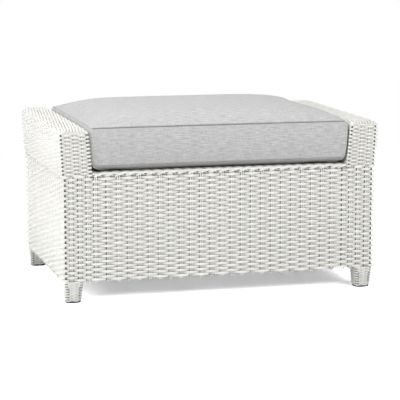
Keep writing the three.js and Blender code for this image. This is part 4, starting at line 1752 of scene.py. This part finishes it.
    def _panel(self, outline: Array) -> Array:
        """A grid of X and Y filled in between the four runs of the outline."""
        wide, deep = self.cells[:2]
        grid = np.zeros((wide + 1, deep + 1, 2))
        grid[self._ring_places()] = outline
        u = self._spread(wide)[:, None, None]
        v = self._spread(deep)[None, :, None]
        across = (1 - v) * grid[:, :1] + v * grid[:, -1:]
        along = (1 - u) * grid[:1, :] + u * grid[-1:, :]
        low = (1 - u) * (1 - v) * grid[0, 0] + u * (1 - v) * grid[-1, 0]
        high = (1 - u) * v * grid[0, -1] + u * v * grid[-1, -1]
        return across + along - (low + high)

    @staticmethod
    def _limits(flat: Array, at: int) -> Array:
        """Where each grid point's own row and column start, with at 0, or stop, with at -1, as X and Y."""
        return np.dstack(np.broadcast_arrays(flat[at, None, :, 0], flat[:, at, None, 1]))

    def _sheets(self, crown_share: float) -> dict[str, Array]:
        """The cover before it is inflated: its two panels as grids, and its boxing as rows."""
        outline = self._outline()
        flat = self._panel(outline)
        starts, stops = self._limits(flat, 0), self._limits(flat, -1)
        half = (stops - starts) / 2
        share = np.clip(np.abs(flat - (starts + stops) / 2) / half, 0, 1)
        hump = np.prod(1 - share ** np.array(self.edge_powers), axis=2) ** self.crown_power
        seam = self._top_seam(flat[..., 1])
        top = np.dstack([flat, seam + (self.crown - seam) * crown_share * hump])
        top[..., 0] *= 1 + self.flare / self.high[0]
        edge = self._top_seam(outline[:, 1])
        rows = np.linspace(0, 1, self.cells[2] + 1)[:, None, None]
        out = self._outward(np.column_stack([outline, edge]))[:, :2]
        swell = self.bulge * np.clip(1 - out[:, 1:], 0, 1)
        fullness = 1 - self.end_fullness * np.abs(out[:, :1])
        walls = outline + out * swell * (4 * rows * (1 - rows)) ** fullness
        heights = self.seams[0] + (edge[:, None] - self.seams[0]) * rows
        boxing = np.concatenate([walls, heights], axis=2)
        boxing[..., 0] *= 1 + self.flare / self.high[0] * rows[..., 0]
        return {"top": top, "bottom": self._belly(flat, (1 - share) * half), "boxing": boxing}

    def _belly(self, flat: Array, inward: Array) -> Array:
        """The underside: rounded below the seam, where it swells out a little, and flat where it rests.

        Args:
            flat: X and Y of the panel's grid.
            inward: Distance of each point from the panel's edges, across and along.

        Returns:
            The grid in space.
        """
        near = np.clip(inward.min(axis=2) / self.belly_reach, 0, 1)
        drop = np.sqrt(near * (2 - near))
        centre = flat.mean(axis=(0, 1))
        away = (flat - centre) / np.maximum(np.linalg.norm(flat - centre, axis=2, keepdims=True), MM)
        swell = self.belly_swell * np.sin(np.pi * np.sqrt(near))
        height = self.seams[0] - (self.seams[0] - self.rest) * drop
        return np.dstack([flat + away * swell[..., None], height])

    def _top_seam(self, y: Array) -> Array:
        """Height of the top seam, which climbs a little towards the back."""
        return self.seams[1] + self.back_lift * (y - self.low[1]) / (self.high[1] - self.low[1])

    def _inflate(self, sheets: dict[str, Array]) -> dict[str, Array]:
        """Inflates the cover as a closed cloth, with gravity off.

        Args:
            sheets: The cover's panels and boxing.

        Returns:
            The same sheets after the simulation, with each point's move capped.
        """
        points, faces, index = self._weld(sheets)
        piece = link_mesh("cover_simulated", fill_mesh("cover_simulated", points, [faces]))
        seam = piece.vertex_groups.new(name=SEAM)
        sewn = np.concatenate([index["boxing"][0], index["boxing"][-1]])
        seam.add(sewn.tolist(), 1.0, "REPLACE")
        cloth = piece.modifiers.new("cloth", "CLOTH")
        cloth.settings.vertex_group_mass = SEAM
        cloth.settings.effector_weights.gravity = 0.0
        cloth.settings.use_pressure = True
        cloth.settings.uniform_pressure_force = self.pressure
        cloth.settings.quality = self.quality
        cloth.collision_settings.use_collision = False
        cloth.point_cache.frame_start = 1
        cloth.point_cache.frame_end = self.frames
        scene = bpy.context.scene
        for number in range(1, self.frames + 1):
            scene.frame_set(number)
        evaluated = piece.evaluated_get(bpy.context.evaluated_depsgraph_get())
        moved = np.empty(len(points) * 3, np.float32)
        evaluated.data.vertices.foreach_get("co", moved)
        mesh = piece.data
        bpy.data.objects.remove(piece)
        bpy.data.meshes.remove(mesh)
        scene.frame_set(1)
        shift = moved.reshape(-1, 3) - points
        size = np.linalg.norm(shift, axis=1, keepdims=True)
        shift *= np.minimum(1, self.cap / np.maximum(size, LEAST_LENGTH))
        LOG.info("the cover swelled by %.1f mm on average", float(size.mean()) / MM)
        settled = points + shift
        return {name: settled[places] for name, places in index.items()}

    def _weld(self, sheets: dict[str, Array]) -> tuple[Array, Array, dict[str, Array]]:
        """Joins the sheets into one closed mesh.

        Args:
            sheets: The cover's panels and boxing.

        Returns:
            The points, the quads, and each sheet's point numbers.
        """
        wide, deep, rows = self.cells
        panel = (wide + 1) * (deep + 1)
        top = np.arange(panel).reshape(wide + 1, deep + 1)
        bottom = top + panel
        ring = self._ring_places()
        around = len(ring[0])
        inner = 2 * panel + np.arange((rows - 1) * around).reshape(rows - 1, around)
        boxing = np.vstack([bottom[ring], inner, top[ring]])
        parts = (sheets["top"], sheets["bottom"], sheets["boxing"][1:-1])
        faces = np.concatenate([grid_quads(top), grid_quads(bottom)[:, ::-1], wall_quads(boxing)])
        index = {"top": top, "bottom": bottom, "boxing": boxing}
        return np.concatenate([part.reshape(-1, 3) for part in parts]), faces, index

    def _tame(self, sheets: dict[str, Array]) -> dict[str, Array]:
        """Keeps the cover clear of the deck, the arms and the zip, and its crown at its real height."""
        seam = self._top_seam(sheets["top"][..., 1])
        rise = sheets["top"][..., 2] - seam
        sheets["top"][..., 2] = seam + rise * (self.crown - self._top_seam(0.0)) / rise.max()
        for sheet in sheets.values():
            sheet[..., 2] = np.maximum(sheet[..., 2], self.rest)
            sheet[..., 1] = np.minimum(sheet[..., 1], self.high[1] - self.back_clear)
            limit = self.sizes.arm_faces(sheet[..., 2])[0] - self.side_clear
            sheet[..., 0] = np.clip(sheet[..., 0], -limit, limit)
        return sheets

    def _sew(self, sheets: dict[str, Array], material: Material) -> Object:
        """Builds the finished cover, with a groove and puffed edges along both seams.

        Args:
            sheets: The settled sheets.
            material: The cloth.

        Returns:
            The cushion's object, subdivided once.
        """
        wide, deep, rows = self.cells
        boxing = sheets["boxing"]
        ring = self._ring_places()
        beside = (np.clip(ring[0], 1, wide - 1), np.clip(ring[1], 1, deep - 1))
        out = self._outward(boxing[rows // 2])
        cover = CoverPoints()
        seams = {}
        panels = {"top": (1.0, 1.0), "bottom": (-1.0, self.pressed)}
        for name, (up, press) in panels.items():
            diagonal = out + np.array([0, 0, up])
            diagonal /= np.linalg.norm(diagonal, axis=1, keepdims=True)
            seams[name] = cover.add(sheets[name][ring] - diagonal * self.seam_depth * press, press)
        step = np.linalg.norm(boxing[1] - boxing[0], axis=1, keepdims=True)
        wall = [seams["bottom"]]
        for distance, puff, depth in self.seam_rows:
            points = boxing[0] + (boxing[1] - boxing[0]) * (distance / step) + out * puff
            wall.append(cover.add(points, depth * self.pressed))
        wall += [cover.add(row) for row in boxing[1:-1]]
        for distance, puff, depth in reversed(self.seam_rows):
            points = boxing[-1] + (boxing[-2] - boxing[-1]) * (distance / step) + out * puff
            wall.append(cover.add(points, depth))
        wall.append(seams["top"])
        faces = [wall_quads(np.array(wall))]
        for name, (up, press) in panels.items():
            sheet = sheets[name]
            numbers = cover.add(sheet[1:-1, 1:-1].reshape(-1, 3)).reshape(wide - 1, deep - 1)
            edge, inner = sheet[ring], sheet[beside]
            gap = np.linalg.norm(inner - edge, axis=1, keepdims=True)
            lines = [seams[name]]
            for distance, puff, depth in self.seam_rows:
                share = np.minimum(distance / gap, self.row_limit)
                points = edge + (inner - edge) * share + np.array([0, 0, up * puff])
                lines.append(cover.add(points, depth * press))
            lines.append(numbers[beside[0] - 1, beside[1] - 1])
            quads = np.concatenate([wall_quads(np.array(lines)), grid_quads(numbers)])
            faces.append(quads if up > 0 else quads[:, [1, 0, 3, 2]])
        points, seam_shades = np.concatenate(cover.parts), np.concatenate(cover.seam_shades)
        # Less painted shade in the seams at the two ends.
        seam_shades[np.abs(points[:, 0]) > self.high[0] - self.corner_radius / 2] *= self.end_crease
        wall_maps = self._wall_maps(boxing[rows // 2], len(wall))
        return self._finish_mesh(points, np.concatenate(faces), wall_maps, seam_shades, material)

    @staticmethod
    def _outward(ring: Array) -> Array:
        """Level outward directions of a closed ring of points."""
        along = np.roll(ring, -1, 0) - np.roll(ring, 1, 0)
        out = np.column_stack([along[:, 1], -along[:, 0], np.zeros(len(ring))])
        return out / np.linalg.norm(out, axis=1, keepdims=True)

    def _wall_maps(self, ring: Array, rows: int) -> tuple[Array, Array]:
        """Cloth and bake places of the boxing's faces, corner by corner.

        Args:
            ring: The boxing's middle row of points.
            rows: Number of rows of the finished boxing.

        Returns:
            Places on the cloth and on the bake map.
        """
        gaps = np.linalg.norm(np.roll(ring, -1, 0) - ring, axis=1)
        distance = np.concatenate([[0.0], np.cumsum(gaps)])
        heights = np.linspace(0, self.seams[1] - self.seams[0], rows)
        row, column = wall_corners(rows - 1, len(ring))
        starts = np.cumsum([0, *self.cells[:2], *self.cells[:2]])
        run = np.searchsorted(starts, column[:, :1], side="right") - 1
        lane = self.bake_wall[0] + self.bake_wall[1] * run
        along = (distance[column] - distance[starts[run]]) * self.bake_scale
        bakes = np.dstack([lane + heights[row] * self.bake_scale, along])
        return np.dstack([distance[column], heights[row]]), bakes

    def _finish_mesh(
        self, points: Array, quads: Array, wall_maps: tuple[Array, Array], seam_shades: Array, material: Material
    ) -> Object:
        """Makes the cushion's object from its faces and maps, and subdivides it once.

        Args:
            points: Places of all points.
            quads: All faces, the boxing's first. Those near the panels' corners have two equal corners.
            wall_maps: Cloth and bake places of the boxing's corners.
            seam_shades: Painted shade of each point, 1 at the bottom of a seam's groove, 0 clear of it.
            material: The cloth.

        Returns:
            The finished object.
        """
        panels = quads[len(wall_maps[0]) :]
        panel_map = points[panels, :2]
        panel_bake = (panel_map - np.array(self.low)) * self.bake_scale
        is_bottom = points[panels, 2].mean(axis=1) < sum(self.seams) / 2
        panel_bake[is_bottom, :, 1] += self.bake_gap
        is_triangle = quads[:, 2] == quads[:, 3]
        mesh = fill_mesh("boxed_cushion", points, [quads[~is_triangle], quads[is_triangle, :3]])
        maps = {BAKE_MAP: (wall_maps[1], panel_bake), LENGTH_MAP: (wall_maps[0], panel_map)}
        for name, pair in maps.items():
            places = np.concatenate(pair)
            add_map(mesh, name, [places[~is_triangle], places[is_triangle, :3]])
        # The seam attribute carries each point's painted shade.
        mesh.attributes.new(SEAM, "FLOAT", "POINT").data.foreach_set("value", seam_shades.astype(np.float32))
        mesh.materials.append(material)
        piece = link_mesh("boxed_cushion", mesh)
        subdivide(piece, 1)
        return piece


@dataclass
class CushionZip:
    """Coil zip in the cushion's back: two tapes, a coil of teeth, the slider and its pull.

    Attributes:
        tooth_pitch: Distance between teeth.
        tooth_width: A tooth's thickness.
        tooth_length: A tooth's length up and down.
        tooth_stagger: How far every other tooth lies above the chain's middle, and the rest below it.
        tape_thickness: Thickness of the tapes.
        tape_sink: How far the tapes lie behind the teeth's middle.
        sides: Points round each section.
        seed: Seed of the strands' tones.
    """

    tooth_pitch: float = 2.4 * MM
    tooth_width: float = 1.5 * MM
    tooth_length: float = 4.6 * MM
    tooth_stagger: float = 0.5 * MM
    tape_thickness: float = 0.7 * MM
    tape_sink: float = 0.3 * MM
    sides: int = 6
    seed: int = 81

    def build(self, frame: dict, finishes: Finishes) -> list[Object]:
        """Builds the chain and dresses the slider and the pull.

        Args:
            finishes: The shared finishes.

        Returns:
            The chain, the slider and the pull.
        """
        low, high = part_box("zip_chain")
        middle = (low.z + high.z) / 2
        bundle = StrandMesh("zip_coil", self.sides, self.seed)
        outward = np.array([0.0, 1.0, 0.0])
        face = high.y - self.tape_thickness / 2
        for sign in (-1, 1):
            centre = middle + sign * (high.z - low.z) / 4
            ends = np.array([[x, face - self.tape_sink, centre] for x in (low.x, 0.0, high.x)])
            bundle.add(ends, np.tile(outward, (3, 1)), (high.z - low.z) / 2, self.tape_thickness)
        for index in range(int((high.x - low.x) / self.tooth_pitch)):
            x = low.x + (index + 0.5) * self.tooth_pitch
            tooth = middle + (self.tooth_stagger if index % 2 else -self.tooth_stagger)
            start, end = (np.array([x, face, tooth + sign * self.tooth_length / 2]) for sign in (-1, 1))
            bundle.rod(start, end, outward, self.tooth_width)
        chain = settle(bundle.build(finishes.zip), "cushion", ["zip_chain"])
        return [chain, *PlainParts(("zip_slider", "zip_pull_tab"), "zip").dress(frame, finishes.zip)]


@dataclass(frozen=True)
class StudioFloor:
    """Plain pale floor. It shows as white paper, and keeps a soft shadow under the ottoman.

    The paper's glow is only for the camera, glass and gloss, so the floor throws no more light than paper
    does. What they see of it is a little bluer, which takes the warm cast of the resin off the shadow.

    Attributes:
        size: Width and depth in metres.
        paper: Colour of the paper that lights the ottoman from below.
        shown_paper: Shares of red, green and blue light that a layer of the shown paper gives back.
        layers: Layers of shown paper, enough for it to show white.
        glow: The shown paper's own light, which lifts the shadow.
    """

    size: float = 5.2
    paper: str = "#f4f4f4"
    shown_paper: tuple[float, float, float] = (0.81, 0.82, 0.86)
    layers: int = 4
    glow: float = 0.16

    def build(self) -> Object:
        """Makes the floor."""
        corners = np.array([(-1, -1, 0), (1, -1, 0), (1, 1, 0), (-1, 1, 0)]) * self.size / 2
        mesh = fill_mesh("studio_floor", corners, [np.array([[0, 1, 2, 3]])])
        material = bpy.data.materials.new("studio_paper")
        tree = empty_tree(material)
        plain = add_node(tree, "BsdfDiffuse", {"Color": srgb(self.paper)})
        shown = add_node(tree, "BsdfDiffuse", {"Color": (*self.shown_paper, 1.0)})
        lit = add_node(tree, "Emission", {"Strength": self.glow})
        for _ in range(self.layers):
            lit = add_node(tree, "AddShader", links={0: lit, 1: shown})
        mix = add_node(tree, "MixShader", links={0: seen_directly(tree), 1: plain, 2: lit})
        add_node(tree, "OutputMaterial", links={"Surface": mix})
        mesh.materials.append(material)
        floor = link_mesh("studio_floor", mesh)
        floor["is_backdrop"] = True
        return floor


def seen_directly(tree: NodeTree) -> Node:
    """A node that gives 1 for camera, glossy and transmission rays, and 0 for others."""
    rays = add_node(tree, "LightPath").outputs
    first = {0: rays["Is Camera Ray"], 1: rays["Is Glossy Ray"]}
    shown = add_node(tree, "Math", {"operation": "MAXIMUM"}, first)
    return add_node(tree, "Math", {"operation": "MAXIMUM"}, {0: shown, 1: rays["Is Transmission Ray"]})


@dataclass(frozen=True)
class Softbox:
    """One soft lamp.

    Attributes:
        name: Its name.
        place: Where it hangs, in metres.
        size: Its width and height.
        power: Its power in watts.
    """

    name: str
    place: tuple[float, float, float]
    size: tuple[float, float]
    power: float

    def build(self, target: tuple[float, float, float]) -> Object:
        """Hangs the lamp so that it faces a point."""
        lamp = bpy.data.lights.new(self.name, "AREA")
        lamp.shape = "RECTANGLE"
        lamp.size, lamp.size_y = self.size
        lamp.energy = self.power
        piece = bpy.data.objects.new(self.name, lamp)
        bpy.context.scene.collection.objects.link(piece)
        piece.location = self.place
        direction = Vector(target) - Vector(self.place)
        piece.rotation_euler = direction.to_track_quat("-Z", "Y").to_euler()
        return piece


@dataclass(frozen=True)
class Studio:
    """Soft lamps round a pale set."""

    ambient: float = 0.275
    softboxes: tuple[Softbox, ...] = (
        Softbox("top_softbox", (-0.55, 0.0, 2.5), (2.2, 1.8), 30.5),
        Softbox("left_softbox", (-2.7, -1.2, 1.6), (1.8, 1.4), 42.5),
        Softbox("front_softbox", (1.4, -2.8, 2.0), (1.8, 1.2), 43.5),
    )
    target: tuple[float, float, float] = (0.0, 0.0, 0.25)

    def build(self) -> None:
        """Hangs the lamps and sets the world."""
        for softbox in self.softboxes:
            softbox.build(self.target)
        world = bpy.data.worlds.new("studio_world")
        bpy.context.scene.world = world
        tree = empty_tree(world)
        plain = add_node(tree, "Background", {"Strength": self.ambient})
        white = add_node(tree, "Background", {"Strength": 1.0, "Color": srgb("#ffffff")})
        mix = add_node(tree, "MixShader", links={0: seen_directly(tree), 1: plain, 2: white})
        add_node(tree, "OutputWorld", links={"Surface": mix})
        bpy.context.scene.view_settings.view_transform = "Standard"


@dataclass(frozen=True)
class StudioCamera:
    """Camera at the photograph's viewing angle, for a square frame.

    Attributes:
        azimuth: Degrees round from straight in front.
        elevation: Degrees above the horizon.
        distance: From the target to the camera, in metres.
        target: Point in the middle of the frame.
        focal: Focal length in millimetres.
        sensor: The frame's width in millimetres.
    """

    azimuth: float = -15.23
    elevation: float = 8.78
    distance: float = 4.762
    target: tuple[float, float, float] = (0.0175, 0.0, 0.2089)
    focal: float = 155.5
    sensor: float = 36.0

    def build(self) -> Object:
        """Makes the camera and sets it as the scene's own."""
        data = bpy.data.cameras.new("studio_camera")
        data.lens, data.sensor_width = self.focal, self.sensor
        data.clip_start, data.clip_end = 0.1, 100.0
        camera = bpy.data.objects.new("studio_camera", data)
        bpy.context.scene.collection.objects.link(camera)
        a, e = math.radians(self.azimuth), math.radians(self.elevation)
        back = Vector((math.sin(a) * math.cos(e), -math.cos(a) * math.cos(e), math.sin(e)))
        camera.location = Vector(self.target) + back * self.distance
        camera.rotation_euler = (-back).to_track_quat("-Z", "Y").to_euler()
        bpy.context.scene.camera = camera
        return camera


def write_sizes(before: tuple, after: tuple) -> None:
    """Gathers the frame's box and the dressed ottoman's box into a table, which goes no further.

    Args:
        before: Lowest and highest corner of the frame.
        after: Lowest and highest corner of what is shown.
    """
    named = {"cad": before, "visual": after}
    sizes = {name: [list(corner) for corner in box] for name, box in named.items()}


def main() -> None:
    """Builds the studio and every sub-assembly in order, and reports each piece."""
    logging.basicConfig(level=logging.INFO, format="%(message)s")
    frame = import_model()
    cad_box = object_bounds()
    StudioCamera().build()
    Studio().build()
    StudioFloor().build()
    finishes = Finishes()
    sizes = BodySizes.from_frame()
    pieces = PlainParts(TUBES, "frame_tube").dress(frame, finishes.coat)
    pieces += PlainParts(("foot_glide",), "glide").dress(frame, finishes.glide)
    pieces += SkirtWeave(sizes).build(finishes)
    pieces += DeckBorder(sizes).build(finishes)
    pieces += DeckWeave(sizes).build(finishes)
    for side in Side:
        pieces += ArmWeave(sizes, side).build(finishes)
    pieces += LegWraps(sizes).build(finishes)
    pieces += Cushion(sizes).build(finishes)
    pieces += CushionZip().build(frame, finishes)
    for piece in pieces:
        LOG.info("%s: %d faces", piece.name, len(piece.data.polygons))
    write_sizes(cad_box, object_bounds())


if __name__ == "__main__":
    main()
